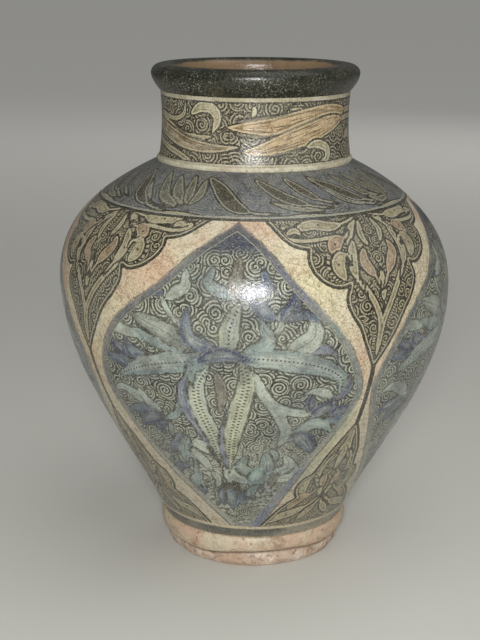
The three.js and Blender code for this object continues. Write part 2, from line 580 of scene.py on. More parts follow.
# One half of a crest's outline: each stretch is a smooth line between two cusps
hangingCrest = [
    [(38, 252), (33, 240), (29.5, 232), (26.5, 227.5), (22.2, 225)],
    [(22.2, 225), (22.5, 218), (20.9, 210), (17.6, 203.5), (13.6, 200.5), (10.6, 202)],
    [(10.6, 202), (11.6, 193), (9.9, 184), (7.1, 176), (4.5, 165), (1.9, 155), (0.4, 149)],
]
risingCrest = [
    [(33, 6), (26, 20), (20, 31), (14.3, 38.5)],
    [(14.3, 38.5), (15.6, 43), (15.8, 50), (13.8, 57), (10.3, 61)],
    [(10.3, 61), (8.4, 70), (6.6, 80), (4.0, 90), (0.4, 104)],
]
crestStem = [(-0.3, 98), (0.3, 98), (0.3, 156), (-0.3, 156)]  # the line between two crests

# Brush strokes: the middle line from its root to its tip, width in mm, colour and finish
lozengeStrokes = [
    # branches
    ([(8, 152), (11, 138), (14, 127), (17.5, 114), (19, 104), (17, 90)], 7.4, "pale", "stem"),
    ([(12, 133), (16, 125), (21, 121), (27, 119)], 6.4, "pale", "stem"),
    ([(-7, 140), (-12, 128), (-15, 116), (-20, 109)], 5.0, "turquoise", "stem"),
    ([(-18, 108), (-19, 98), (-17, 86), (-12, 74)], 3.2, "turquoise", "stem"),
    ([(-4, 172), (-12, 183), (-16, 197)], 3.2, "pale", "stem"),
    ([(10, 170), (16, 178), (16, 188)], 3.2, "pale", "stem"),
    ([(0, 78), (-1, 66), (0, 54)], 5.5, "pale", "plain"),
    ([(-15, 90), (-13, 76), (-14, 62), (-12, 46)], 3.0, "turquoise", "stem"),
    ([(15, 90), (17, 82), (15, 74)], 3.4, "turquoise", "stem"),
    ([(17, 104), (20, 98), (22, 100)], 3.0, "turquoise", "stem"),
    ([(-2, 76), (-7, 84), (-13, 90)], 3.0, "pale", "stem"),
    # a round flower low on the right
    ([(13, 60), (3, 61), (2, 74)], 8.0, "pale", "plain"),
    ([(13, 60), (24, 62), (25, 75)], 8.0, "pale", "plain"),
    ([(13, 62), (5, 71), (7, 84)], 8.5, "turquoise", "plain"),
    ([(13, 62), (22, 72), (20, 84)], 8.5, "pale", "lined"),
    ([(13, 60), (14, 73), (13, 87)], 9.0, "turquoise", "lined"),
    ([(12, 50), (10, 60), (12, 73)], 10.5, "teal", "plain"),
    ([(17, 53), (17, 59), (19, 66)], 5.0, "russet", "plain"),
    ([(12, 55), (8, 47), (10, 38)], 5.5, "turquoise", "plain"),
    # the blue palmette at the foot
    ([(-2, 47), (-6, 43), (-8, 35)], 5.0, "pale", "plain"),
    ([(2, 47), (6, 43), (8, 35)], 5.0, "pale", "plain"),
    ([(-1, 50), (-4, 43), (-4.5, 33)], 7.5, "slate", "plain"),
    ([(1, 50), (4.5, 43), (4.5, 33)], 7.5, "slate", "plain"),
    ([(0, 51), (0, 41), (-0.5, 29)], 8.5, "slate", "lined"),
    ([(-4.5, 49), (0, 53), (4.5, 49)], 6.5, "ink", "plain"),
    # leaves low on the left
    ([(-12, 94), (-9, 90), (-3, 82)], 9.5, "pale", "lined"),
    ([(-15, 99), (-18, 89), (-22, 78)], 8.0, "violet", "plain"),
    ([(-13, 98), (-16, 85), (-17, 71)], 8.0, "turquoise", "lined"),
    ([(-13, 86), (-10, 77), (-7, 65)], 7.5, "pale", "plain"),
    ([(-16, 68), (-21, 66), (-23, 58)], 6.0, "violet", "plain"),
    ([(-12, 62), (-16, 54), (-15, 44)], 6.5, "turquoise", "plain"),
    ([(-12, 46), (-16, 41), (-15, 31)], 6.5, "violet", "plain"),
    ([(-7, 66), (-5, 58), (-7, 50)], 5.0, "pale", "plain"),
    # the blue palmette on the left
    ([(-20, 110), (-23, 103), (-22, 95)], 7.0, "blue", "plain"),
    ([(-20, 112), (-26, 122), (-33, 128), (-38, 124)], 8.0, "pale", "plain"),
    ([(-20, 113), (-24, 121), (-27, 131)], 7.5, "pale", "plain"),
    ([(-20, 111), (-28, 113), (-35, 109)], 9.0, "blue", "plain"),
    ([(-20, 111), (-26, 107), (-31, 99)], 9.5, "deepBlue", "lined"),
    # the blue palmette on the right
    ([(21, 132), (26, 136), (31, 132), (32, 126)], 6.0, "pale", "tailed"),
    ([(28, 118), (27, 112), (25, 106)], 7.0, "blue", "plain"),
    ([(29, 119), (26, 125), (25, 133)], 7.5, "deepBlue", "plain"),
    ([(30, 118), (35, 112), (37, 105)], 8.0, "blue", "plain"),
    ([(30, 118), (36, 119), (40, 122)], 8.0, "deepBlue", "plain"),
    ([(26, 118), (31, 123), (34, 132)], 9.0, "deepBlue", "lined"),
    ([(21, 103), (29, 110), (35, 101)], 9.0, "turquoise", "plain"),
    ([(22, 103), (26, 96), (30, 84)], 11.0, "blue", "lined"),
    # leaves above, on both sides
    ([(-20, 158), (-23, 167), (-30, 171), (-35, 165)], 7.0, "pale", "tailed"),
    ([(-21, 151), (-31, 149), (-38, 152)], 8.5, "blue", "plain"),
    ([(-21, 152), (-30, 157), (-36, 163)], 8.5, "deepBlue", "plain"),
    ([(-19, 152), (-26, 157), (-28, 166)], 9.5, "blue", "lined"),
    ([(-9, 164), (-18, 167), (-25, 173)], 8.5, "turquoise", "plain"),
    ([(-8, 165), (-15, 174), (-25, 182)], 12.5, "olive", "lined"),
    ([(-15, 196), (-20, 203), (-16, 213)], 8.0, "blue", "plain"),
    ([(-14, 194), (-9, 202), (-9, 213)], 8.0, "pale", "plain"),
    ([(20, 164), (27, 165), (32, 160)], 7.0, "violet", "plain"),
    ([(18, 163), (25, 172), (25, 186)], 13.0, "pale", "lined"),
    ([(16, 184), (22, 187), (27, 182)], 7.0, "blue", "plain"),
    ([(15, 184), (11, 192), (13, 202)], 8.5, "blue", "plain"),
    ([(16, 184), (20, 192), (21, 202)], 9.0, "deepBlue", "lined"),
    # the bud at the top
    ([(5, 197), (-2, 204), (-1, 215)], 7.5, "turquoise", "plain"),
    ([(6, 197), (13, 203), (12, 214)], 7.5, "blue", "plain"),
    ([(5, 196), (5, 207), (6, 221)], 8.0, "russet", "lined"),
    # what grows from the middle
    ([(0, 162), (-8, 172), (-8, 190)], 10.0, "blue", "plain"),
    ([(6, 162), (13, 170), (11, 184)], 9.5, "turquoise", "plain"),
    ([(3, 160), (3, 176), (6, 194)], 12.0, "yellow", "dotted"),
    ([(-1, 150), (0, 136), (-1, 120)], 6.5, "russet", "plain"),
    ([(34, 147), (36, 137), (33, 126)], 8.5, "violet", "plain"),
    ([(-1, 158), (-13, 154), (-23, 148), (-33, 138)], 14.0, "turquoise", "dotted"),
    ([(3, 160), (15, 159), (27, 153), (34, 143), (34, 131)], 13.5, "turquoise", "dotted"),
    ([(-7, 150), (-11, 136), (-10, 118), (-6, 98), (-3, 74)], 10.0, "violet", "plain"),
    ([(-3, 155), (-7, 140), (-7, 122), (-4, 98), (-2, 72)], 11.5, "pale", "dashed"),
    ([(4, 130), (1.5, 112), (-0.5, 94), (-1, 70)], 8.0, "violet", "plain"),
    ([(6, 157), (7, 142), (4.8, 122), (2.2, 100), (0.6, 75)], 12.5, "yellow", "dashed"),
    ([(-4, 156), (-8, 150), (-8, 140)], 7.0, "turquoise", "plain"),
    ([(-6, 157), (1, 162), (9, 158)], 9.5, "deepBlue", "plain"),
]

# Each is painted on both sides of the crest's axis
hangingStrokes = [
    # a ribbon from the tip out and round to the top, with an eyed leaf in it
    (
        [(0, 156), (0.3, 175), (2.4, 187), (5.4, 197), (8.6, 206), (9, 225), (7.8, 233), (2.8, 247)],
        3.6, "cream", "stem",
    ),
    ([(0, 190), (0, 199), (0.2, 209)], 4.4, "cream", "plain"),
    ([(2.4, 224), (3.8, 232), (2.6, 243)], 3.8, "cream", "plain"),
    ([(0.3, 197), (2.6, 206), (5.2, 214), (4.6, 223)], 7.0, "blush", "tailed"),
    ([(5.6, 195), (8.6, 206), (9.2, 216), (7.6, 229)], 6.4, "cream", "eyed"),
    # leaves hooked back from it
    ([(9.4, 232), (4, 244)], 3.4, "cream", "stem"),
    ([(8, 236), (9.8, 231.5), (13, 229.5), (14.4, 224), (13, 218.5)], 8.4, "blush", "eyed"),
    ([(9.8, 214), (10.2, 219.5), (12.6, 219.5), (13.8, 213), (12, 204.5)], 8.6, "cream", "eyed"),
    ([(2.3, 246), (9, 241.5), (14.5, 240), (20.5, 242), (27.5, 238)], 7.4, "cream", "eyed"),
    ([(11, 247.6), (22, 248.6), (33, 247.6)], 3.0, "cream", "plain"),
    ([(12.4, 233), (18, 231.4), (24.4, 231), (29, 233.4), (28.6, 238), (25, 237.6)], 2.2, "cream", "stem"),
    ([(29, 236), (26.4, 238.4), (24.4, 234.6)], 3.6, "cream", "plain"),
]
risingStrokes = [
    ([(0, 103), (0.6, 88), (3.4, 76), (7.4, 65), (7, 54), (3, 44), (1, 30)], 3.4, "cream", "stem"),
    ([(0, 84), (0, 74), (0.2, 62)], 5.0, "cream", "plain"),
    ([(1, 62), (3.6, 56), (2.4, 46)], 5.4, "blush", "tailed"),
    ([(3, 80), (6.4, 70), (8.2, 62), (6.4, 52)], 6.0, "cream", "eyed"),
    ([(7, 56), (9, 59), (12, 55), (13, 48), (11, 41)], 7.4, "cream", "eyed"),
    ([(4, 46), (7, 40), (12, 38), (15, 33), (17, 27)], 7.4, "blush", "eyed"),
    ([(1, 36), (6, 29), (13, 24), (21, 20), (29, 14)], 6.6, "cream", "eyed"),
    ([(0, 34), (3, 26), (10, 15)], 5.0, "cream", "tailed"),
]

# Painted round the shoulder band again and again, with turns from the front
bandStrokes = [
    ([(26, 253), (15, 255.5), (6, 261)], 3.8, "creamDark", "plain"),
    ([(9, 251), (0, 252), (-7, 257), (-12, 266), (-16, 274), (-23, 284)], 10.0, "umber", "hatched"),
    ([(-34, 251), (-42, 254.5), (-49, 262), (-55, 271), (-64, 282)], 8.0, "umber", "hatched"),
    ([(-27, 257), (-34, 256), (-39, 261)], 4.4, "creamDark", "plain"),
    ([(-27, 257), (-33, 266), (-40, 283)], 6.6, "creamDark", "lined"),
    ([(-26, 257), (-28, 268), (-31, 284)], 5.4, "creamDark", "lined"),
    ([(-25, 257), (-23, 266), (-24, 281)], 5.0, "creamDark", "plain"),
    ([(30, 254), (22, 257), (13, 264), (7, 272), (0, 283)], 8.0, "umber", "hatched"),
    ([(33, 257), (26, 262), (21, 270), (14, 284)], 6.4, "umber", "hatched"),
    ([(56, 251), (46, 254.5), (38, 262), (33, 272), (26, 285)], 7.6, "umber", "hatched"),
    ([(60, 255), (52, 261), (47, 271), (41, 284)], 6.0, "creamDark", "lined"),
]

# Painted on the front and the back of the neck
neckStrokes = [
    ([(20, 38), (40, 37.5), (56, 41)], 2.2, "cream", "stem"),
    ([(98, 32), (78, 35), (58, 34.5)], 3.2, "sand", "stem"),
    ([(96, 27), (74, 30.5), (50, 28)], 3.0, "sand", "stem"),
    ([(66, 35), (48, 34.5), (30, 31.5), (12, 28), (-4, 27), (-17, 27)], 12.5, "ochre", "streaked"),
    ([(62, 30), (46, 27), (30, 22), (16, 17.5), (3, 13.5), (-8, 12)], 12.5, "ochre", "streaked"),
    ([(-11, 30.5), (3, 32.6), (16, 34), (32, 36.4)], 1.6, "umber", "stem"),
    ([(-12, 23.2), (-4, 22), (5, 22), (14, 24)], 1.5, "umber", "stem"),
    ([(16, 24), (26, 27.4), (36, 30.6), (48, 31.8)], 1.6, "umber", "stem"),
    ([(8, 10.2), (18, 12.4), (27, 16), (36, 20)], 1.6, "umber", "stem"),
    ([(-96, 33), (-78, 29.5), (-62, 25.5), (-50, 20.5), (-38, 19.5), (-27, 21)], 4.6, "cream", "stem"),
    ([(-96, 30), (-76, 25), (-58, 19.5), (-42, 15.5), (-26, 13.8), (-10, 15)], 8.5, "sand", "streaked"),
    ([(-54, 23.5), (-43, 19.8), (-31, 18.6)], 2.6, "umber", "stem"),
    ([(-84, 17), (-66, 12), (-48, 7.5), (-35, 0.5)], 3.4, "cream", "stem"),
    ([(-76, 33), (-58, 30), (-48, 33), (-45, 41)], 2.6, "cream", "stem"),
    ([(-41, 34), (-34, 38.5), (-26.5, 38), (-23, 32), (-26, 23)], 6.4, "bone", "plain"),
    ([(31, 14.5), (38, 16), (45.5, 13), (46, 7), (39.5, 4)], 5.4, "bone", "plain"),
    ([(-1.5, 40), (-1, 37), (-2.5, 33.5)], 2.6, "bone", "plain"),
    ([(66, 17), (74, 20), (80, 14), (76, 8)], 5.6, "cream", "plain"),
]

# The leaves' colours, as eight-bit sRGB
inks = {
    "ink": (58, 55, 48),
    "cream": (170, 162, 134),
    "creamDark": (116, 117, 102),
    "blush": (164, 145, 120),
    "umber": (66, 62, 49),
    "ochre": (196, 172, 134),
    "sand": (172, 160, 134),
    "bone": (190, 184, 156),
    "pale": (176, 185, 170),
    "turquoise": (134, 150, 146),
    "teal": (130, 158, 150),
    "blue": (80, 94, 118),
    "deepBlue": (56, 66, 100),
    "violet": (108, 114, 134),
    "olive": (130, 138, 128),
    "russet": (128, 118, 104),
    "slate": (84, 98, 114),
    "yellow": (176, 180, 154),
}
drawn = ("plain", "dotted", "hatched", "lined", "streaked", "eyed", "dashed")
finishes = {name: float(number) for number, name in enumerate(drawn)} | {"stem": 0.0, "tailed": 0.0}
withTail = ("tailed", "eyed", "hatched")


def linear(colour):
    parts = np.array(colour, float) / 255
    return np.where(parts <= 0.04045, parts / 12.92, ((parts + 0.055) / 1.055) ** 2.4)


# A smooth line through the points, and on along its ends' own way
def smoothLine(points, perStretch=10):
    points = np.array(points, float)
    ends = np.vstack([2 * points[0] - points[1], points, 2 * points[-1] - points[-2]])
    t = np.linspace(0, 1, perStretch, endpoint=False)[:, None]
    pieces = []
    for a, b, c, d in zip(ends, ends[1:], ends[2:], ends[3:]):
        bends = (2 * a - 5 * b + 4 * c - d) * t**2 + (3 * b - a - 3 * c + d) * t**3
        pieces.append(0.5 * (2 * b + (c - a) * t + bends))
    return np.vstack(pieces + [points[-1:]])


# What the painter works on: where every vertex of a piece lies, and the fields to fill in
def makeSurface(piece, curve):
    place = cornersOf(piece)
    outer = np.interp(place[:, 2], curve[:, 1], curve[:, 0])
    skin = np.hypot(place[:, 0], place[:, 1]) > outer - layout["skin"]
    count = len(place)
    surface = {
        "turn": turnOf(place),
        "climb": np.interp(place[:, 2], curve[:, 1], lengthAlong(curve)),
        "degree": outer * math.pi / 180,  # mm in one degree of turn
        "outside": skin & (place[:, 2] >= curve[0, 1] - 0.01),
        "curve": curve,
        "leafTint": np.tile(linear(inks["cream"]), (count, 1)),
    }
    surface |= {key: np.full(count, layout["farOff"]) for key in edgeFields}
    return surface | {key: np.zeros(count) for key in leafFields}


# How the brush presses
press = {
    "stemRoot": (8, 0.3),  # how fast a width grows from an end, and what it begins with
    "stemTip": (5, 0.15),
    "tailRoot": (8, 0.2),
    "tailEnd": 0.7,  # a tail runs this far into its leaf
    "tailed": (0.85, 0.7),  # how far back a leaf's belly lies, and how full it is
    "leaf": (0.8, 0.75),
}


def belly(part, kind):
    back, full = press[kind]
    return np.clip(4 * part**back * (1 - part**back), 0, 1) ** full


# How far each of a stroke's neighbours lies from its outline, along it and across it
def strokeField(surface, path, width, finish):
    line = smoothLine(path)
    middle = line[:, 0].mean()
    turn = wrapTurn(surface["turn"] - middle)
    span = np.abs(line[:, 0] - middle).max() + layout["aroundTurn"]
    margin = width + layout["aroundClimb"]
    lowest, highest = line[:, 1].min() - margin, line[:, 1].max() + margin
    near = surface["outside"] & (np.abs(turn) < span)
    near &= (surface["climb"] > lowest) & (surface["climb"] < highest)
    who = np.nonzero(near)[0]
    x, y = turn[who] * surface["degree"][who], surface["climb"][who]
    curve = surface["curve"]
    degree = np.interp(line[:, 1], lengthAlong(curve), curve[:, 0]) * math.pi / 180
    line = np.column_stack([(line[:, 0] - middle) * degree, line[:, 1]])
    starts = lengthAlong(line)
    whole = starts[-1]
    best = np.full(len(who), np.inf)
    along, across = np.zeros(len(who)), np.zeros(len(who))
    for (ax, ay), (bx, by), start, end in zip(line, line[1:], starts, starts[1:]):
        step = end - start
        dx, dy = (bx - ax) / step, (by - ay) / step
        px, py = x - ax, y - ay
        t = np.clip(px * dx + py * dy, 0, step)
        gap = np.hypot(px - t * dx, py - t * dy)
        closer = gap < best
        best = np.where(closer, gap, best)
        along = np.where(closer, start + t, along)
        across = np.where(closer, px * dy - py * dx, across)
    part = along / whole
    if finish == "stem":
        (fromRoot, root), (fromTip, tip) = press["stemRoot"], press["stemTip"]
        wide = np.minimum(1, np.minimum(part * fromRoot + root, (1 - part) * fromTip + tip))
    elif finish in withTail:
        past = np.clip((part - layout["tail"]) / (1 - layout["tail"]), 0, 1)
        grow, root = press["tailRoot"]
        tail = layout["tailWidth"] / width * np.clip(part * grow, root, 1)
        wide = np.maximum(belly(past, "tailed"), tail * (part < press["tailEnd"]))
        along = along - layout["eye"] * whole
    else:
        wide = belly(part, "leaf")
    return who, best - width / 2 * wide, along, np.sign(across) * best


# A later stroke lies over the earlier ones, which are cut back by a ring of ink round it. A stem
# runs into them instead.
def paintStroke(surface, path, width, colour, finish, ring):
    who, edge, along, across = strokeField(surface, path, width, finish)
    under = surface["leafEdge"][who]
    if finish != "stem":
        under = np.maximum(under, ring - edge)
    over = edge < under
    surface["leafEdge"][who] = np.minimum(edge, under)
    who = who[over]
    surface["leafAlong"][who] = along[over]
    surface["leafAcross"][who] = across[over]
    surface["leafFinish"][who] = finishes[finish]
    surface["leafTint"][who] = linear(inks[colour])


# The first copy is as the painter meant it, and the others stray
def strayed(path, copy):
    path = np.array(path, float)
    if copy == 0:
        return path
    loose = (layout["looseTurn"], layout["looseClimb"])
    path = path + rng.normal(0, 1, 2) * loose
    return path + rng.normal(0, layout["loosePoint"], path.shape) * loose


# The right half of a hanging crest is drawn higher and wider than the left
def lifted(line, lift):
    tip = layout["crestTip"]
    part = np.clip((line[:, 1] - tip) / (layout["bandFoot"] - tip), 0, 1)
    shift = np.sin(math.pi * part) * np.clip(line[:, 0] / layout["liftFrom"], 0, 1)
    return line + shift[:, None] * np.array(lift)


def leaning(line, lean):
    line[:, 0] += (line[:, 1] - layout["crestTip"]) * lean
    return line


# Every stroke in its place, as a list that each painted piece then takes
def setOut(strokes, facings, ring, mirrored=False, lean=0.0, lift=(0.0, 0.0)):
    laid = []
    for copy, facing in enumerate(facings):
        for path, width, colour, finish in strokes:
            for side in (1, -1) if mirrored else (1,):
                line = lifted(strayed(path, copy) * (side, 1), lift)
                laid.append((leaning(line, lean) + (facing, 0), width, colour, finish, ring))
    return laid


def crestOutline(stretches, lean=0.0, lift=(0.0, 0.0)):
    right = np.vstack([smoothLine(stretch) for stretch in stretches])
    return leaning(lifted(np.vstack([right, right[::-1] * (-1, 1)]), lift), lean)


# Signed distance from a closed outline, negative inside, kept where it is the least so far
def cutOutline(surface, key, outline, facing):
    middle = outline[:, 0].mean()
    turn = wrapTurn(surface["turn"] - facing - middle)
    span = np.abs(outline[:, 0] - middle).max() + layout["aroundTurn"]
    who = np.nonzero(surface["outside"] & (np.abs(turn) < span))[0]
    degree = surface["degree"][who]
    x, y = turn[who], surface["climb"][who]
    best = np.full(len(who), np.inf)
    inside = np.zeros(len(who), bool)
    ring = np.vstack([outline, outline[:1]]) - (middle, 0)
    for (ax, ay), (bx, by) in zip(ring, ring[1:]):
        dx, dy = (bx - ax) * degree, by - ay
        px, py = (x - ax) * degree, y - ay
        t = np.clip((px * dx + py * dy) / np.maximum(dx * dx + dy * dy, 1e-9), 0, 1)
        best = np.minimum(best, np.hypot(px - t * dx, py - t * dy))
        if by != ay:
            crosses = (ay > y) != (by > y)
            inside ^= crosses & (x < (bx - ax) * (y - ay) / (by - ay) + ax)
    edge = np.where(inside, -best, best)
    surface[key][who] = np.minimum(surface[key][who], edge)


def paintSurface(piece, surface, strokes):
    for stroke in strokes:
        paintStroke(surface, *stroke)
    mesh, outside = piece.data, surface["outside"]
    deepest, away = layout["deepest"], layout["farOff"]
    for key in edgeFields:
        storeField(mesh, key, np.where(outside, np.clip(surface[key], deepest, away), away))
    for key in (*leafFields, "climb"):
        storeField(mesh, key, surface[key])
    storeField(mesh, "painted", outside)
    tint = mesh.attributes.new("leafTint", "FLOAT_COLOR", "POINT")
    opaque = np.column_stack([surface["leafTint"], np.ones(len(outside))])
    tint.data.foreach_set("color", opaque.ravel())


def paintBody(pieces):
    panels, crests = layout["panels"], layout["crests"]
    lean, lift, ring = layout["crestLean"], layout["crestLift"], layout["inkRing"]
    lozenge = np.vstack([smoothLine(lozengeRight), smoothLine(lozengeLeft)[::-1][1:-1]])
    outlines = [crestOutline(hangingCrest, lean, lift), crestOutline(risingCrest), np.array(crestStem)]
    strokes = setOut(lozengeStrokes, panels, layout["softRing"])
    strokes += setOut(hangingStrokes, crests, ring, True, lean, lift)
    strokes += setOut(risingStrokes, crests, ring, True)
    strokes += setOut(bandStrokes, layout["bandCopies"], ring)
    for piece in pieces:
        surface = makeSurface(piece, bodyCurve)
        for panel, crest in zip(panels, crests):
            side = wrapTurn(surface["turn"] - panel - lozengeLeft[0][0])
            near = np.abs(side) < 180 / len(panels)
            surface["panelSide"][near] = side[near] / layout["sideUnit"]
            cutOutline(surface, "panelEdge", lozenge, panel)
            for outline in outlines:
                cutOutline(surface, "crestEdge", outline, crest)
        paintSurface(piece, surface, strokes)
    print("body painted with", len(strokes), "strokes")


def paintNeck(piece):
    strokes = setOut(neckStrokes, layout["neckCopies"], layout["inkRing"])
    paintSurface(piece, makeSurface(piece, neckCurve), strokes)
    print("neck painted with", len(strokes), "strokes")


# Colours of clay and glaze, as eight-bit sRGB
colours = {
    "cream": (211, 201, 172),
    "pinkCream": (206, 174, 146),
    "yellowCream": (211, 203, 164),
    "dullCream": (184, 176, 156),
    "grime": (204, 192, 170),
    "crackInk": (122, 100, 74),
    "ink": (44, 41, 32),
    "crestLine": (164, 156, 128),
    "crestDull": (150, 143, 124),
    "panelInk": (49, 50, 43),
    "panelLine": (169, 171, 152),
    "grainInk": (70, 71, 62),
    "grainLine": (176, 176, 160),
    "bandInk": (56, 58, 58),
    "bandLine": (124, 124, 118),
    "bandBlue": (92, 98, 112),
    "bandRule": (150, 150, 134),
    "footInk": (60, 63, 62),
    "footLine": (150, 145, 126),
    "footBare": (168, 160, 138),
    "footRule": (190, 176, 148),
    "footEdge": (166, 152, 126),
    "neckInk": (44, 40, 30),
    "neckLine": (161, 153, 128),
    "neckGlint": (206, 194, 164),
    "borderBlue": (68, 78, 92),
    "borderViolet": (92, 99, 118),
    "borderDeep": (38, 46, 66),
    "borderTeal": (104, 118, 118),
    "borderPale": (146, 148, 136),
    "borderLow": (72, 84, 120),
    "borderDull": (150, 150, 138),
    "borderSmear": (66, 70, 76),
    "green": (152, 156, 128),
    "leafPale": (180, 186, 172),
    "leafYellow": (190, 192, 164),
    "leafEdge": (160, 166, 154),
    "creamEdge": (180, 170, 140),
    "umberEdge": (146, 144, 128),
    "hatching": (98, 92, 74),
    "streaks": (84, 62, 42),
    "coolWash": (196, 198, 206),
    "warmWash": (212, 202, 182),
    "brownWash": (198, 186, 160),
    "blueWash": (188, 194, 210),
    "veil": (154, 158, 150),
    "speckAndGlint": (200, 194, 174),
    "pit": (104, 98, 84),
    "soot": (150, 140, 124),
    "crackPale": (132, 122, 100),
    "inside": (128, 107, 82),
    "insideStain": (92, 72, 52),
    "rimBlack": (30, 33, 26),
    "rimBrown": (82, 75, 56),
    # light specks on the rim: scuffs in the glaze and painted glints in its crackle
    "rimScuffsAndGlints": (160, 158, 138),
    "collar": (200, 188, 162),
    "collarThin": (196, 168, 144),
    "coil": (198, 196, 172),
    "coilThin": (184, 174, 150),
    "clay": (186, 160, 138),
    "clayPale": (224, 210, 192),
    "dirt": (124, 98, 76),
    "rust": (116, 76, 54),
    # dirt and painted shade in the crease between the foot's sections
    "crease": (92, 74, 56),
    "floor": (212, 211, 203),
    "horizon": (138, 137, 133),
}

# Irregular patches: scale per metre, where in the noise they begin and are full, its detail and
# roughness where they aren't the usual ones, and last how far off the noise is taken, in metres
blots = {
    "pink": (17.0, 0.42, 0.66),
    "yellow": (13.0, 0.48, 0.7, 3.0, 0.6, (0.3, 0.1, 0.7)),
    "grime": (150.0, 0.42, 0.75, 4.0, 0.65),
    "veil": (28.0, 0.35, 0.75, 4.0, 0.6),
    "specksAndGlints": (1100.0, 0.57, 0.68, 2.0, 0.5),
    "pits": (900.0, 0.56, 0.68, 2.0, 0.5, (0.7, 0.2, 0.4)),
    "soot": (300.0, 0.55, 0.75, 3.0, 0.6),
    "insideStain": (30.0, 0.45, 0.7, 4.0, 0.65),
    "matt": (60.0, 0.35, 0.75, 4.0, 0.6),
    "crackled": (45.0, 0.3, 0.6, 2.0, 0.5),
    "leafWorn": (130.0, 0.4, 0.62),
    "leafBrush": (1.0, 0.42, 0.66),
    "leafWash": (95.0, 0.35, 0.7),
    "leafBrown": (170.0, 0.45, 0.65),
    "leafInner": (75.0, 0.36, 0.5),
    "leafStreaks": (1.0, 0.53, 0.6, 2.0, 0.5),
    "leafContour": (0.5, 0.42, 0.52, 1.0, 0.5),
    "teeth": (70.0, 0.47, 0.5, 1.0, 0.5),
    "contours": (210.0, 0.36, 0.5),
    "borderRun": (30.0, 0.4, 0.56),
    "borderWorn": (60.0, 0.4, 0.64, 4.0, 0.65),
    "borderStreaks": (420.0, 0.5, 0.7),
    "borderSmears": (180.0, 0.48, 0.64),
    "borderRule": (55.0, 0.4, 0.6),
    "panelGrain": (420.0, 0.45, 0.53, 2.0, 0.5),
    "panelBlurred": (60.0, 0.36, 0.54),
    "bandBlue": (34.0, 0.4, 0.6),
    "footBare": (14.0, 0.5, 0.64),
    "kilnRun": (24.0, 0.42, 0.62),
    "neckDull": (70.0, 0.4, 0.6),
    "neckGlint": (1000.0, 0.55, 0.66, 2.0, 0.5),
    "neckGlinting": (40.0, 0.35, 0.6),
    "rimBrown": (42.0, 0.52, 0.74, 4.0, 0.65),
    "rimSpecksAndGlints": (900.0, 0.56, 0.66, 2.0, 0.5),
    "rimScuffedAndGlinting": (70.0, 0.38, 0.62),
    "rimPits": (520.0, 0.62, 0.74, 2.0, 0.5),
    "collarWorn": (34.0, 0.4, 0.62, 4.0, 0.65),
    "collarDirt": (90.0, 0.5, 0.72, 4.0, 0.65),
    "collarRust": (260.0, 0.6, 0.7, 3.0, 0.6, (0.4, 0.9, 0.2)),
    "clayPale": (40.0, 0.4, 0.7, 4.0, 0.65),
    "clayDirt": (110.0, 0.5, 0.68, 5.0, 0.7),
    "clayRust": (240.0, 0.6, 0.7, 3.0, 0.6, (0.4, 0.9, 0.2)),
    "clayCrumbs": (330.0, 0.42, 0.62),
}
usualBlot = (3.0, 0.6, None)  # detail, roughness and no shift

# How the brush strayed from a line: how often per metre, and how far
tremors = {
    "leaf": (420.0, 0.4),
    "leafShade": (60.0, 3.0),
    "leafGlow": (80.0, 1.0),
    "contour": (150.0, 0.7),
    "panel": (34.0, 1.1),
    "panelFine": (160.0, 0.7),
    "crest": (260.0, 0.45),
    "rule": (90.0, 0.35),
    "side": (30.0, 0.25),
    "teal": (26.0, 40.0),
    "low": (22.0, 30.0),
    "neckRule": (90.0, 0.4),
    "bore": (60.0, 1.6),
}

# Where things set in and where they are full: a climb, or a distance from an edge, in mm
fades = {
    "darkerLow": (150.0, 50.0),
    "crestDull": (125.0, 90.0),
    "onRight": (-0.25, 0.25),
    "teal": (205.0, 165.0),
    "low": (118.0, 84.0),
    "pooled": (75.0, 40.0),
    "tips": (208.0, 230.0),
    "apex": (218.0, 229.0),
    "blurred": (110.0, 60.0),
    "green": (6.0, 3.5),
    "greenBelow": (125.0, 105.0),
    "greenAbove": (48.0, 66.0),
    "leafBleed": (4.0, 0.3),
    "leafAside": (-1.5, 4.0),
    "leafGlow": (-1.5, -4.2),
    "leafRib": (3.0, 4.0),
    "collarCrease": (2.2, 0.3),
    "clayCrease": (2.0, 0.2),
    "floorGlow": (0.35, 2.4),  # in metres
}

# Lines and rims, in mm: from where to where beside an edge, and how soft
lines = {
    "leafInner": (-1.8, -1.35, 0.2),
    "leafContour": (-2.3, -1.6, 0.25),
    "dottedRib": (2.5, 2.9),
    "dashedRib": (3.3, 3.6),
    "teeth": (1.5, 3.4, 0.15),
    "teethGround": (1.1, 3.8, 0.1),
    "contours": (1.2, 8.0, 0.4),
    "borderRule": (-1.2, -0.1, 0.2),
}

# Combs, dots and dashes: pitch in mm, and where in each stretch a line sets in and is full
combs = {
    "hatching": (1.7, 0.3, 0.4),
    "veins": (2.2, 0.38, 0.46),
    "teeth": (1.8, 0.18, 0.26),
    "contours": (1.75, 0.16, 0.24),
}
dots = {"pitch": 2.6, "radius": 0.62, "eye": 0.8}
dashes = {"pitch": 2.5, "radius": 0.52, "aside": 1.45, "squeeze": 0.5}

leaf = {
    "outline": (1.15, 0.15),  # how far out the ink round a leaf reaches, and how soft it ends
    "softOutline": 0.35,  # how much less far on a soft leaf, and how much fainter
    "softFaint": -0.25,
    "body": (-0.85, 0.45),  # the paint inside the rim
    "midrib": 0.28,
    "thinRib": 0.22,
    "veinReach": 2.6,
    "veinSlant": 0.8,
    "streak": 0.05,  # how much the streaks are drawn out along a leaf
    "brush": (0.11, 0.8),  # the same for brush marks, and across it
}

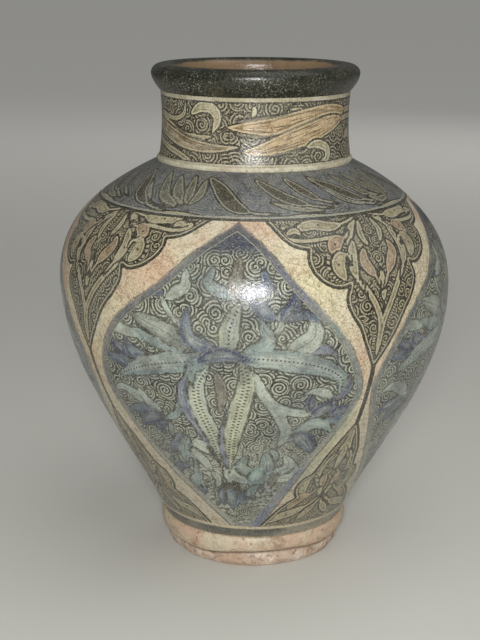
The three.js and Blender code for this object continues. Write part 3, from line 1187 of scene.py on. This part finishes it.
# Bumps: scale per metre, detail, roughness, and height as a share of the finish's depth
bumps = {
    "dimples": (110.0, 3.0, 0.55, 2.2),
    "grain": (800.0, 2.0, 0.5, 0.75),
    "crack": 0.2,
    "rimWaves": (200.0, 3.0, 0.5, 2.2),
    "rimGrain": (700.0, 2.0, 0.5, 1.3),
    "rimPits": 0.8,
    "collarLumps": (260.0, 3.0, 0.6, 1.4),
    "clayGrain": (900.0, 3.0, 0.7, 1.0),
    "clayCrumbs": 1.2,
    "clayLumps": (160.0, 3.0, 0.5, 2.4),
}


def hue(name):
    return (*linear(colours[name]), 1.0)


def newMaterial(name):
    material = bpy.data.materials.new(name)
    material.use_nodes = True
    desk["tree"] = material.node_tree
    material.node_tree.nodes.clear()
    return material, put("ShaderNodeTexCoord").outputs["Object"]


def ramp(value, start, end):
    inputs = {"Value": value, "From Min": start, "From Max": end}
    return put("ShaderNodeMapRange", inputs, interpolation_type="SMOOTHSTEP").outputs[0]


def fade(value, name):
    return ramp(value, *fades[name])


def within(edge, limit, soft=0.12):
    return ramp(edge, limit + soft, limit - soft)


def between(edge, lower, upper, soft=0.12):
    return times(ramp(edge, lower - soft, lower + soft), within(edge, upper, soft))


def lay(under, over, mask=1.0, blend="MIX"):
    inputs = {0: mask, 6: under, 7: over}
    return put("ShaderNodeMix", inputs, data_type="RGBA", blend_type=blend).outputs[2]


# A coat of a named colour where all the masks are, and the same as a stain that darkens
def coat(under, name, *masks, blend="MIX"):
    return lay(under, hue(name), times(*masks), blend)


def stain(under, name, *masks):
    return coat(under, name, *masks, blend="MULTIPLY")


def either(*masks):
    return reduce(partial(calc, "MAXIMUM"), masks)


def without(mask):
    return calc("SUBTRACT", 1.0, mask)


def far(across, along):
    return calc("SQRT", calc("ADD", times(across, across), times(along, along)))


# Where a value lies in its stretch of a pattern, from -0.5 to 0.5
def phase(value, pitch=1.0):
    return calc("SUBTRACT", calc("FRACT", calc("DIVIDE", value, pitch)), 0.5)


def comb(value, name):
    pitch, start, end = combs[name]
    return ramp(calc("ABSOLUTE", phase(value, pitch)), start, end)


def field(name, output="Fac"):
    return put("ShaderNodeAttribute", attribute_name=name).outputs[output]


def noise(vector, scale, detail=2.0, rough=0.5, output="Fac"):
    inputs = {"Vector": vector, "Scale": scale, "Detail": detail, "Roughness": rough}
    return put("ShaderNodeTexNoise", inputs).outputs[output]


def blot(vector, name):
    given = blots[name]
    scale, start, end, detail, rough, off = given + usualBlot[len(given) - 3 :]
    if off:
        vector = vectors("ADD", vector, off)
    return ramp(noise(vector, scale, detail, rough), start, end)


def relief(place, name):
    *grain, height = bumps[name]
    return times(noise(place, *grain), height)


# An edge that the brush didn't draw quite true
def shaky(edge, place, *names):
    for name in names:
        scale, amount = tremors[name]
        edge = calc("MULTIPLY_ADD", calc("SUBTRACT", noise(place, scale), 0.5), amount * 2, edge)
    return edge


def pushed(place, scale, amount):
    sway = vectors("SUBTRACT", noise(place, scale, 1.0, output="Color"), (0.5, 0.5, 0.5))
    return vectors("ADD", place, vectors("SCALE", sway, scale=amount * 2))


def makeGroup(name, inputs, output):
    desk["tree"] = bpy.data.node_groups.new(name, "ShaderNodeTree")
    for key, kind in inputs.items():
        addSocket(key, kind)
    addSocket(output, "Float", way="OUTPUT")
    return desk["tree"], put("NodeGroupInput").outputs, put("NodeGroupOutput").inputs[output]


def useGroup(group, inputs):
    return put("ShaderNodeGroup", inputs, node_tree=group).outputs[0]


# Scrollwork scratched through the dark slip: a coil in the middle of each cell, echoed by arcs
scrolls = {
    "jitter": 0.85,
    "sway": 0.35,  # how far the hand wanders, in mm
    "swayScale": 0.22,  # and how often, per mm
    "leastCoil": 0.72,  # how much of its cell a coil fills at least, and how much more some do
    "moreCoil": 0.4,
    "swell": 0.12,  # how much a line's width changes, and how often per mm
    "swellScale": 0.5,
    "wornScale": 0.9,
    "worn": (0.3, 0.42),
    "softness": 0.05,
    "seamWave": 0.03,  # in turns
    "seamScale": 30.0,
}
# How wide a cell is, how far a line lies from the next, and half the light line as a share of that
panelScrolls = {"Cell": 11.2, "Pitch": 2.25, "Line": 0.24}
crestScrolls = {"Cell": 9.8, "Pitch": 2.15, "Line": 0.2}
neckScrolls = {"Cell": 11.0, "Pitch": 2.2, "Line": 0.2}


def makeScrollGroup():
    sockets = dict.fromkeys(panelScrolls, "Float") | {"Place": "Vector"}
    tree, given, out = makeGroup("scrollwork", sockets, "Drawn")
    size, pitch = given["Cell"], given["Pitch"]
    place = pushed(given["Place"], scrolls["swayScale"], scrolls["sway"])
    spot = vectors("SCALE", place, scale=calc("DIVIDE", 1.0, size))

    def cells(feature):
        inputs = {"Vector": spot, "Scale": 1.0, "Randomness": scrolls["jitter"]}
        return put("ShaderNodeTexVoronoi", inputs, voronoi_dimensions="2D", feature=feature).outputs

    cell = cells("F1")
    away = vectors("MULTIPLY", vectors("SUBTRACT", spot, cell["Position"]), (1, 1, 0))
    parts = split(away)
    chance = put("ShaderNodeSeparateColor", {0: cell["Color"]}).outputs
    gap = times(vectors("LENGTH", away), size)
    room = times(cells("N_SPHERE_RADIUS")["Radius"], size)
    share = calc("MULTIPLY_ADD", chance[2], scrolls["moreCoil"], scrolls["leastCoil"])
    past = calc("SUBTRACT", gap, times(room, share))
    spin = calc("DIVIDE", calc("ARCTAN2", parts[1], parts[0]), math.tau)
    hand = calc("MULTIPLY_ADD", calc("GREATER_THAN", chance[0], 0.5), 2.0, -1.0)
    coil = calc("MULTIPLY_ADD", spin, hand, calc("DIVIDE", gap, pitch))
    inCoil = within(past, 0.0, 0.1)
    swell = calc("SUBTRACT", noise(place, scrolls["swellScale"], 1.0), 0.5)
    width = calc("MULTIPLY_ADD", swell, scrolls["swell"], given["Line"])

    def line(value):
        beside = calc("SUBTRACT", calc("ABSOLUTE", phase(value)), width)
        return ramp(beside, scrolls["softness"], -scrolls["softness"])

    border = times(cells("DISTANCE_TO_EDGE")["Distance"], size)
    coils = times(line(calc("ADD", coil, chance[1])), inCoil)
    echoes = times(line(calc("DIVIDE", past, pitch)), ramp(border, 0.25, 0.5))
    both = calc("ADD", coils, times(echoes, without(inCoil)))
    feed(out, times(both, ramp(noise(place, scrolls["wornScale"]), *scrolls["worn"])))
    return tree


crackle = {
    "size": 3.1,
    "wander": 0.8,
    "wanderScale": 240.0,
    "line": (0.085, 0.01),
    "coarse": 3.2,  # a wider net over the fine one, this many times its size
    "coarseLine": (0.02, 0.004),
    "coarseDepth": 0.7,
}


def makeCrackleGroup():
    tree, given, out = makeGroup("crackle", {"Place": "Vector"}, "Crack")
    place = pushed(given["Place"], crackle["wanderScale"], crackle["wander"] * mm)

    def net(size, start, end):
        inputs = {"Vector": place, "Scale": 1 / (size * mm), "Randomness": 1.0}
        edges = put("ShaderNodeTexVoronoi", inputs, feature="DISTANCE_TO_EDGE")
        return ramp(edges.outputs["Distance"], start, end)

    fine = times(net(crackle["size"], *crackle["line"]), blot(given["Place"], "crackled"))
    coarse = net(crackle["size"] * crackle["coarse"], *crackle["coarseLine"])
    feed(out, either(fine, times(coarse, crackle["coarseDepth"])))
    return tree


scrollTree, crackleTree = makeScrollGroup(), makeCrackleGroup()


# A place on the piece's own map in mm, as wide as the map is at the belly or the neck. The cut
# at the back isn't straight: a wavy strip past it goes on with the pattern from the other side.
def mapPlace(radius):
    parts = split(put("ShaderNodeUVMap", uv_map="wrap").outputs[0])
    along = noise(combine(y=parts[1]), scrolls["seamScale"])
    past = calc("LESS_THAN", parts[0], times(along, scrolls["seamWave"] * 2))
    whole = combine(calc("ADD", parts[0], past), parts[1])
    return vectors("SCALE", whole, scale=math.tau * radius)


# How rough a glaze is where it is whole, how much rougher where worn, and how deep its bumps, in mm
sheens = {
    "body": (0.23, 0.14, 0.11),
    "neck": (0.23, 0.14, 0.17),
    "rim": (0.3, 0.2, 0.16),
    "collar": (0.38, 0.35, 0.25),
    "clay": (0.86, 0.0, 0.35),
}


def finishShader(colour, worn, height, kind):
    roughness, rougher, depth = sheens[kind]
    if rougher:
        roughness = calc("MULTIPLY_ADD", worn, rougher, roughness)
    shader = put("ShaderNodeBsdfPrincipled", {"Base Color": colour, "Roughness": roughness})
    bump = put("ShaderNodeBump", {"Height": height, "Distance": depth * mm, "Strength": 1.0})
    feed(shader.inputs["Normal"], bump.outputs[0])
    put("ShaderNodeOutputMaterial", {0: shader.outputs[0]})


def styleMask(name):
    gap = calc("SUBTRACT", field("leafFinish"), finishes[name])
    return calc("LESS_THAN", calc("ABSOLUTE", gap), 0.3)


# What is drawn on a leaf: midribs, dots, veins, hatching, streaks and eyes
def leafDrawing(colour, body):
    along, across = field("leafAlong"), field("leafAcross")
    beside = calc("ABSOLUTE", across)

    def draw(under, name, mask, strength, ink="ink"):
        return coat(under, ink, mask, body, styleMask(name), strength)

    dotAlong = times(phase(along, dots["pitch"]), dots["pitch"])
    colour = draw(colour, "dotted", within(far(across, dotAlong), dots["radius"]), 0.95)
    colour = draw(colour, "dotted", between(beside, *lines["dottedRib"]), 0.3)
    # two rows of short dashes, set in turn
    turn = times(calc("GREATER_THAN", across, 0.0), dashes["pitch"] / 2)
    dashAlong = times(phase(calc("ADD", along, turn), dashes["pitch"]), dashes["pitch"])
    dashAcross = times(calc("SUBTRACT", beside, dashes["aside"]), dashes["squeeze"])
    colour = draw(colour, "dashed", within(far(dashAcross, dashAlong), dashes["radius"]), 0.95)
    colour = draw(colour, "dashed", between(beside, *lines["dashedRib"]), 0.3)
    slant = calc("MULTIPLY_ADD", beside, leaf["veinSlant"], along)
    colour = draw(colour, "hatched", comb(slant, "hatching"), 0.45, "hatching")
    veins = times(comb(slant, "veins"), within(beside, leaf["veinReach"]), 0.6)
    colour = draw(colour, "lined", either(veins, within(beside, leaf["midrib"])), 0.6)
    grain = combine(times(along, leaf["streak"]), across)
    contour = times(between(field("leafEdge"), *lines["leafContour"]), blot(grain, "leafContour"))
    streaks = either(blot(grain, "leafStreaks"), contour)
    colour = draw(colour, "streaked", streaks, 0.8, "streaks")
    colour = draw(colour, "eyed", within(far(across, along), dots["eye"]), 0.95)
    ribs = times(within(beside, leaf["thinRib"]), fade(along, "leafRib"))
    return draw(draw(colour, "eyed", ribs, 0.5), "plain", ribs, 0.3)


# The leaves. Soft ones were washed in with colour, the others only reserved in cream.
def leafPainting(colour, place, room, soft):
    edge = shaky(field("leafEdge"), place, "leaf")
    across, tint = field("leafAcross"), field("leafTint", "Color")
    colour = lay(colour, tint, times(fade(edge, "leafBleed"), room, soft, 0.2))
    outline = within(calc("MULTIPLY_ADD", soft, leaf["softOutline"], edge), *leaf["outline"])
    strength = calc("MULTIPLY_ADD", soft, leaf["softFaint"], 1.0)
    colour = coat(colour, "ink", outline, room, strength)
    rimmed = lay(lay(hue("creamEdge"), tint, 0.7), lay(hue("leafEdge"), tint, 0.72), soft)
    rimmed = coat(rimmed, "umberEdge", styleMask("hatched"))
    worn = without(times(soft, blot(place, "leafWorn")))
    colour = lay(colour, rimmed, times(within(edge, 0.0, 0.15), room, worn))
    # paler in the middle and on one side
    aside = times(fade(shaky(across, place, "leafShade"), "leafAside"), 0.45)
    glow = times(fade(shaky(edge, place, "leafGlow"), "leafGlow"), 0.85)
    heart = coat(hue("leafPale"), "leafYellow", styleMask("dashed"))
    fill = lay(tint, heart, times(either(aside, glow), soft))
    drawnOut, narrow = leaf["brush"]
    brush = combine(times(field("leafAlong"), drawnOut), times(across, narrow))
    fill = lay(fill, tint, times(blot(brush, "leafBrush"), soft, 0.6))
    wash = blot(place, "leafWash")
    fill = stain(stain(fill, "coolWash", wash, soft, 0.6), "warmWash", wash, 0.4)
    fill = stain(fill, "brownWash", blot(place, "leafBrown"), without(soft), 0.7)
    # a thin line inside the edge of a leaf in cream
    inner = times(between(edge, *lines["leafInner"]), without(soft))
    fill = coat(fill, "ink", inner, blot(place, "leafInner"), 0.6)
    body = times(within(edge, *leaf["body"]), room)
    return leafDrawing(lay(colour, fill, body), body)


# Short strokes side by side along a leaf, as the scratcher filled narrow places
def toothLines(place):
    edge, where = field("leafEdge"), blot(place, "teeth")
    teeth = times(comb(field("leafAlong"), "teeth"), between(edge, *lines["teeth"]), where)
    return teeth, times(between(edge, *lines["teethGround"]), where)


# Lines that follow the leaves' outlines at growing distances, as the band has
def contourLines(place):
    edge = shaky(field("leafEdge"), place, "contour")
    return times(comb(edge, "contours"), between(edge, *lines["contours"]), blot(place, "contours"))


def creamGround(place, crack, climb):
    colour = coat(hue("cream"), "pinkCream", blot(place, "pink"))
    colour = coat(colour, "yellowCream", blot(place, "yellow"), 0.8)
    # the cream turns darker towards the foot
    colour = coat(colour, "dullCream", fade(climb, "darkerLow"), 0.85)
    return coat(stain(colour, "grime", blot(place, "grime"), 0.6), "crackInk", crack, 0.5)


# A dull veil, light specks that are partly real and partly painted glints, dark specks, and dirt in the
# crackle
def weather(colour, place, crack):
    colour = coat(colour, "veil", blot(place, "veil"), 0.2)
    # light specks: real specks in the glaze and painted glints
    colour = coat(colour, "speckAndGlint", blot(place, "specksAndGlints"), 0.36)
    colour = stain(colour, "pit", blot(place, "pits"), 0.58)
    colour = stain(colour, "soot", blot(place, "soot"), 0.4)
    return coat(colour, "crackPale", crack, 0.2)


def insideGlaze(place, crack):
    colour = coat(hue("inside"), "insideStain", blot(place, "insideStain"), 0.7)
    return coat(colour, "crackInk", crack, 0.5)


def glazeHeight(place, crack):
    surface = calc("ADD", relief(place, "dimples"), relief(place, "grain"))
    return calc("SUBTRACT", surface, times(crack, bumps["crack"]))


# A painted piece has plain glaze inside
def finishPainted(colour, place, crack, kind):
    colour = lay(insideGlaze(place, crack), colour, field("painted"))
    finishShader(colour, blot(place, "matt"), glazeHeight(place, crack), kind)


# The lozenge's border: deep at its top, blue on the left, violet to teal on the right, and low
# down pale on the left with blue running on over the right
def borderColour(place, climb, onRight, low, pooled):
    cool = coat(hue("borderViolet"), "borderTeal", fade(shaky(climb, place, "teal"), "teal"))
    border = lay(hue("borderBlue"), cool, onRight)
    border = coat(border, "borderPale", low, 0.95)
    run = either(blot(place, "borderRun"), pooled)
    border = coat(border, "borderLow", run, onRight, low, 0.85)
    tips = fade(climb, "tips")
    border = coat(border, "borderDeep", tips)
    border = coat(border, "borderDull", blot(place, "borderWorn"), without(tips), 0.45)
    border = coat(border, "crestLine", blot(place, "borderStreaks"), without(tips), 0.25)
    return coat(border, "borderSmear", blot(place, "borderSmears"), 0.4)


# Scrollwork in the lozenge, blue in its top corner and so worn low down that it breaks up
def panelGround(place, climb, scroll):
    ground = coat(hue("panelInk"), "panelLine", scroll)
    ground = coat(ground, "borderDeep", fade(climb, "apex"), 0.9)
    grain = coat(hue("grainInk"), "grainLine", blot(place, "panelGrain"))
    return lay(ground, grain, times(fade(climb, "blurred"), blot(place, "panelBlurred"), 0.8))


# The lozenges with their borders, and the mask of what lies inside the border
def layPanels(colour, place, climb, scroll):
    panel = shaky(field("panelEdge"), place, "panel", "panelFine")
    onRight = fade(shaky(field("panelSide"), place, "side"), "onRight")
    low, pooled = fade(shaky(climb, place, "low"), "low"), fade(climb, "pooled")
    green = times(fade(panel, "green"), onRight, fade(climb, "greenBelow"))
    colour = coat(colour, "green", green, fade(climb, "greenAbove"), 0.6)
    border = borderColour(place, climb, onRight, low, pooled)
    colour = lay(colour, border, times(within(panel, -0.7, 1.5), 0.92))
    faint = either(times(blot(place, "borderRule"), 0.6), times(low, 0.7))
    colour = coat(colour, "ink", between(panel, *lines["borderRule"]), faint)
    inner = calc("ADD", panel, times(onRight, pooled, layout["borderSwell"]))
    for ink, edge in layout["panelRules"]:
        colour = coat(colour, ink, within(inner, edge - layout["borderWidth"]), 0.6)
    inPanel = within(inner, layout["panelInner"] - layout["borderWidth"])
    return lay(colour, panelGround(place, climb, scroll), inPanel), inPanel


def layCrests(colour, place, scroll):
    crest = shaky(field("crestEdge"), place, "crest")
    teeth, toothed = toothLines(place)
    scratches = either(teeth, times(scroll, without(toothed)))
    for ink, edge in layout["crestRules"]:
        colour = coat(colour, ink, within(crest, edge))
    inCrest = within(crest, layout["crestInner"])
    return lay(colour, coat(hue("ink"), "crestLine", scratches), inCrest), inCrest


def layShoulderBand(colour, place, rule, scroll):
    foot, upper, lower = layout["bandFoot"], *layout["bandRules"]
    ground = coat(hue("bandInk"), "bandBlue", blot(place, "bandBlue"), 0.6)
    scratches = either(times(scroll, 0.35), times(contourLines(place), 0.8))
    inBand = ramp(rule, foot, foot + 0.3)
    colour = lay(colour, coat(ground, "bandLine", scratches), inBand)
    colour = coat(colour, "bandRule", between(rule, upper, foot))
    return coat(colour, "ink", between(rule, lower, upper)), inBand


def layFootBand(colour, place, rule, scroll):
    lower, upper = layout["footRule"]
    ground = coat(hue("footInk"), "footLine", scroll, 0.3)
    ground = coat(ground, "footBare", blot(place, "footBare"), 0.6)
    colour = lay(colour, ground, times(within(rule, lower, 0.25), 0.9))
    colour = coat(colour, "footRule", between(rule, lower, upper, 0.3))
    return coat(colour, "footEdge", within(rule, layout["footEdge"], 0.5), 0.8)


def makeBodyGlaze():
    material, place = newMaterial("paintedBody")
    crack = useGroup(crackleTree, {"Place": place})
    spot = {"Place": mapPlace(shape["bellyRadius"])}
    panelScroll = useGroup(scrollTree, panelScrolls | spot)
    crestScroll = useGroup(scrollTree, crestScrolls | spot)
    climb = field("climb")
    rule = shaky(climb, place, "rule")
    colour = creamGround(place, crack, climb)
    colour, inPanel = layPanels(colour, place, climb, panelScroll)
    colour, inCrest = layCrests(colour, place, crestScroll)
    colour, inBand = layShoulderBand(colour, place, rule, panelScroll)
    colour = layFootBand(colour, place, rule, crestScroll)
    middle = between(rule, layout["footLine"], layout["bandRules"][1])
    room = either(times(either(inPanel, inCrest), middle), inBand)
    colour = leafPainting(colour, place, room, inPanel)
    # blue that ran in the kiln
    colour = stain(colour, "blueWash", blot(place, "kilnRun"), times(inPanel, middle), 0.7)
    colour = coat(colour, "crestDull", fade(climb, "crestDull"), inCrest, 0.1)
    finishPainted(weather(colour, place, crack), place, crack, "body")
    return material


def makeNeckGlaze():
    material, place = newMaterial("paintedNeck")
    crack = useGroup(crackleTree, {"Place": place})
    spot = {"Place": mapPlace(shape["neckRootRadius"])}
    climb = shaky(field("climb"), place, "neckRule")
    colour = coat(hue("neckInk"), "neckLine", useGroup(scrollTree, neckScrolls | spot))
    colour = leafPainting(colour, place, 1.0, 0.0)
    top = float(lengthAlong(neckCurve)[-1])
    cream = coat(hue("crestLine"), "dullCream", blot(place, "neckDull"))
    rules = zip(layout["neckTopRules"], layout["neckFootRules"], (hue("ink"), cream))
    for below, above, rule in rules:
        colour = lay(colour, rule, within(climb, above))
        colour = lay(colour, rule, ramp(climb, top - below, top - below + 0.2))
    colour = weather(colour, place, crack)
    glint = times(blot(place, "neckGlint"), blot(place, "neckGlinting"))
    finishPainted(coat(colour, "neckGlint", glint, 0.42), place, crack, "neck")
    return material


# How far the black glaze goes down the bore, and how far out of it the clear one starts, in mm
rimBore = {"blackReach": 1.7, "lip": 3.0}


def makeRimGlaze():
    material, place = newMaterial("blackRim")
    crack = useGroup(crackleTree, {"Place": place})
    brown = blot(place, "rimBrown")
    colour = coat(hue("rimBlack"), "rimBrown", brown, 0.5)
    # light grey specks over the black glaze: scuffs, and painted glints in the crackle
    scuffedAndGlinting = calc("MULTIPLY_ADD", blot(place, "rimScuffedAndGlinting"), 0.55, 0.1)
    colour = coat(colour, "rimScuffsAndGlints", blot(place, "rimSpecksAndGlints"), scuffedAndGlinting)
    colour = coat(colour, "rimBrown", crack, 0.5)
    parts = split(place)
    out = times(far(parts[0], parts[1]), 1 / mm)
    deep = shaky(calc("DIVIDE", parts[2], mm), place, "bore")
    bore = within(out, shape["neckBore"] + rimBore["lip"], 0.4)
    inside = times(bore, within(deep, shape["top"] - rimBore["blackReach"], 0.7))
    colour = lay(colour, insideGlaze(place, crack), inside)
    pits = times(blot(place, "rimPits"), bumps["rimPits"])
    height = calc("SUBTRACT", relief(place, "rimWaves"), pits)
    height = calc("ADD", height, relief(place, "rimGrain"))
    finishShader(colour, brown, height, "rim")
    return material


# Dirt and rust on the sections near the foot, and the crease between them darkened with dirt and painted
# shade
def soiledAndCreaseShaded(colour, place, kind, dirty, creased):
    colour = coat(colour, "dirt", blot(place, kind + "Dirt"), dirty)
    colour = coat(colour, "rust", blot(place, kind + "Rust"), 0.6)
    return colour, times(fade(field("crease"), kind + "Crease"), creased)


def makeCollarGlaze(name, thick):
    material, place = newMaterial(name)
    crack = useGroup(crackleTree, {"Place": place})
    worn = blot(place, "collarWorn")
    colour = coat(hue(thick), thick + "Thin", worn)
    colour, crease = soiledAndCreaseShaded(colour, place, "collar", 0.6, 0.8)
    # the crease darkened with dirt and painted shade
    colour = coat(coat(colour, "crackInk", crack, 0.4), "crease", crease)
    height = calc("ADD", glazeHeight(place, crack), relief(place, "collarLumps"))
    finishShader(colour, worn, height, "collar")
    return material


def makeBareClay():
    material, place = newMaterial("bareClay")
    colour = coat(hue("clay"), "clayPale", blot(place, "clayPale"))
    colour, crease = soiledAndCreaseShaded(colour, place, "clay", 0.7, 0.85)
    crumbs = times(blot(place, "clayCrumbs"), bumps["clayCrumbs"])
    height = calc("ADD", calc("ADD", relief(place, "clayGrain"), crumbs), relief(place, "clayLumps"))
    # the crease darkened with dirt and painted shade
    finishShader(coat(colour, "crease", crease), None, height, "clay")
    return material


materials = {
    "body": makeBodyGlaze(),
    "neck": makeNeckGlaze(),
    "rim": makeRimGlaze(),
    "collar": makeCollarGlaze("wornCream", "collar"),
    "coil": makeCollarGlaze("coilCream", "coil"),
    "clay": makeBareClay(),
}
print("materials made")


# No two sections were set quite above each other: heights and how far each lies to the right
settling = [(0, 0.1), (66, 0.5), (115, 1.2), (165, 0.6), (205, -0.7), (238, -2.0), (269, -0.2), (330, -0.2)]
settleReach = 9  # over how many mm of height one shift passes into the next

# Knocks on the foot: turn from the front, height, reach and depth in mm
knocks = [
    (-58, 1.0, 11.0, 0.9),
    (-30, 0.5, 6.0, 0.6),
    (20, 0.0, 13.0, 0.8),
    (31, 8.5, 5.0, 0.5),
    (66, 1.5, 8.0, 1.0),
    (118, 1.0, 11.0, 1.2),
    (171, 12.5, 8.0, 0.7),
    (-140, 1.5, 12.0, 1.3),
    (-96, 9.0, 7.0, 0.6),
]

# The crease between the foot's two sections wanders up and down, in mm and degrees
footCrease = {
    "waves": ((0.55, 2, 20), (0.44, 5, 80), (0.275, 9, 200)),  # height, how many round, where
    "rise": 2.4,  # it is drawn up once, this far
    "riseAt": 14,
    "riseWidth": 34,
    "reach": 4.5,  # how far above and below the clay follows it
}
knockShape = {"flatness": 1.6, "roundness": 1.5, "clearOfBore": 3}


def wearFoot(places):
    turn = turnOf(places)
    away = wrapTurn(turn - footCrease["riseAt"]) / footCrease["riseWidth"]
    rise = footCrease["rise"] * np.exp(-(away**2))
    for height, count, start in footCrease["waves"]:
        rise += height * np.sin(np.radians(count * turn + start))
    above = (places[:, 2] - shape["collarBase"]) / footCrease["reach"]
    places[:, 2] += rise * np.exp(-(above**2))
    radius = np.hypot(places[:, 0], places[:, 1])
    outside = radius > shape["footBore"] + knockShape["clearOfBore"]
    for facing, height, reach, depth in knocks:
        across = wrapTurn(turn - facing) * math.pi / 180 * shape["ringRadius"]
        away = np.hypot(across, (places[:, 2] - height) * knockShape["flatness"]) / reach
        dent = depth * np.clip(1 - away**2, 0, 1) ** knockShape["roundness"] * outside
        places[:, :2] *= (1 - dent / np.maximum(radius, 1))[:, None]


def settle(piece):
    heights, shifts = np.array(settling, float).T
    places = cornersOf(piece)
    wearFoot(places)
    even = np.linspace(0, shape["top"], 400)
    nearby = np.exp(-0.5 * ((even[:, None] - even[None, :]) / settleReach) ** 2)
    smooth = nearby @ np.interp(even, heights, shifts) / nearby.sum(axis=1)
    places[:, 0] += np.interp(places[:, 2], even, smooth)
    piece.data.vertices.foreach_set("co", (places * mm).ravel())
    piece.data.update()


rolled = (2.6, 130.0)  # how much more uneven rolled clay is, and its lumps per metre
bowl = turned("painted_bowl", bowlProfile(), 576, materials["body"])
dome = turned("painted_dome", domeProfile(), 576, materials["body"])
neck = turned("painted_neck", neckProfile(), 520, materials["neck"])
rim = turned("glazed_rim", rimProfile(), 300, materials["rim"])
coil = turned("root_coil", coilProfile(), 300, materials["coil"])
collar = turned("rolled_collar", collarProfile(), 420, materials["collar"], *rolled)
ring = turned("foot_ring_bare", ringProfile(), 420, materials["clay"], *rolled)
paintBody([bowl, dome])
paintNeck(neck)

# How far a point lies from the crease between two sections
for piece, height in ((collar, shape["collarBase"]), (ring, shape["collarBase"]), (coil, 0.0)):
    storeField(piece.data, "crease", np.abs(cornersOf(piece)[:, 2] - height))

for piece, node, slot in (
    (bowl, "lower_bowl", "painted_body"),
    (dome, "upper_dome", "painted_body"),
    (neck, "neck", "painted_neck"),
    (rim, "rim", "black_glaze"),
    (coil, "neck_coil", "cream_glaze"),
    (collar, "foot_collar", "cream_glaze"),
    (ring, "foot_ring", "bare_clay"),
):
    settle(piece)
    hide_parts(node)
    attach(piece, "root")
    print(node, "made:", len(piece.data.polygons), "faces")


# The stage: a wide pale floor, a lamp near the lens and soft light from above and beside
stage = {
    "reach": 40.0,
    "sky": 0.135,
    "glow": 0.17,  # what the lens sees of the far floor beyond what lights it
    "aim": (0, 0, 0.17),  # where the lamps point
}
# Place, width and power in watts
lamps = {
    "front": ((-0.03, -1.25, 0.56), 0.24, 13.8),
    "above": ((0.35, -0.3, 1.6), 1.4, 7.0),
    "right": ((1.5, 0.1, 0.7), 0.7, 0.5),
    "behind": ((0.8, 2.0, 1.4), 1.5, 7.0),
}


def seenByLens():
    return put("ShaderNodeLightPath").outputs["Is Camera Ray"]


def makeStage():
    mesh = bpy.data.meshes.new("floor")
    side = stage["reach"]
    corners = [(-side, -side, 0), (side, -side, 0), (side, side, 0), (-side, side, 0)]
    mesh.from_pydata(corners, [], [(0, 1, 2, 3)])
    material, place = newMaterial("palePaper")
    glow = times(fade(vectors("LENGTH", place), "floorGlow"), seenByLens(), stage["glow"])
    shader = put("ShaderNodeBsdfPrincipled", {
        "Base Color": hue("floor"),
        "Roughness": 0.9,
        "Emission Color": (1.0, 0.99, 0.96, 1.0),
        "Emission Strength": glow,
    })
    put("ShaderNodeOutputMaterial", {0: shader.outputs[0]})
    mesh.materials.append(material)
    link("floor", mesh)


def makeLamps():
    for name, (place, size, power) in lamps.items():
        light = bpy.data.lights.new(name, "AREA")
        light.size = size
        light.energy = power
        holder = link(name, light)
        aim = Vector(stage["aim"]) - Vector(place)
        turn = aim.to_track_quat("-Z", "Y").to_matrix().to_4x4()
        holder.matrix_world = Matrix.Translation(place) @ turn
        holder.visible_glossy = name != "behind"  # it would glare on the shoulder


# The world lights evenly, and the lens sees it as a pale wall
def makeWorld():
    world = bpy.data.worlds.new("studio")
    world.use_nodes = True
    desk["tree"] = world.node_tree
    world.node_tree.nodes.clear()
    wall = put("ShaderNodeBackground", {"Color": hue("horizon"), "Strength": 1.0})
    sky = put("ShaderNodeBackground", {"Color": (1.0, 0.995, 0.98, 1.0), "Strength": stage["sky"]})
    mixed = put("ShaderNodeMixShader", {0: seenByLens(), 1: sky.outputs[0], 2: wall.outputs[0]})
    put("ShaderNodeOutputWorld", {0: mixed.outputs[0]})
    bpy.context.scene.world = world


makeStage()
makeLamps()
makeWorld()
bpy.context.scene.view_settings.view_transform = "Standard"
print("stage set")
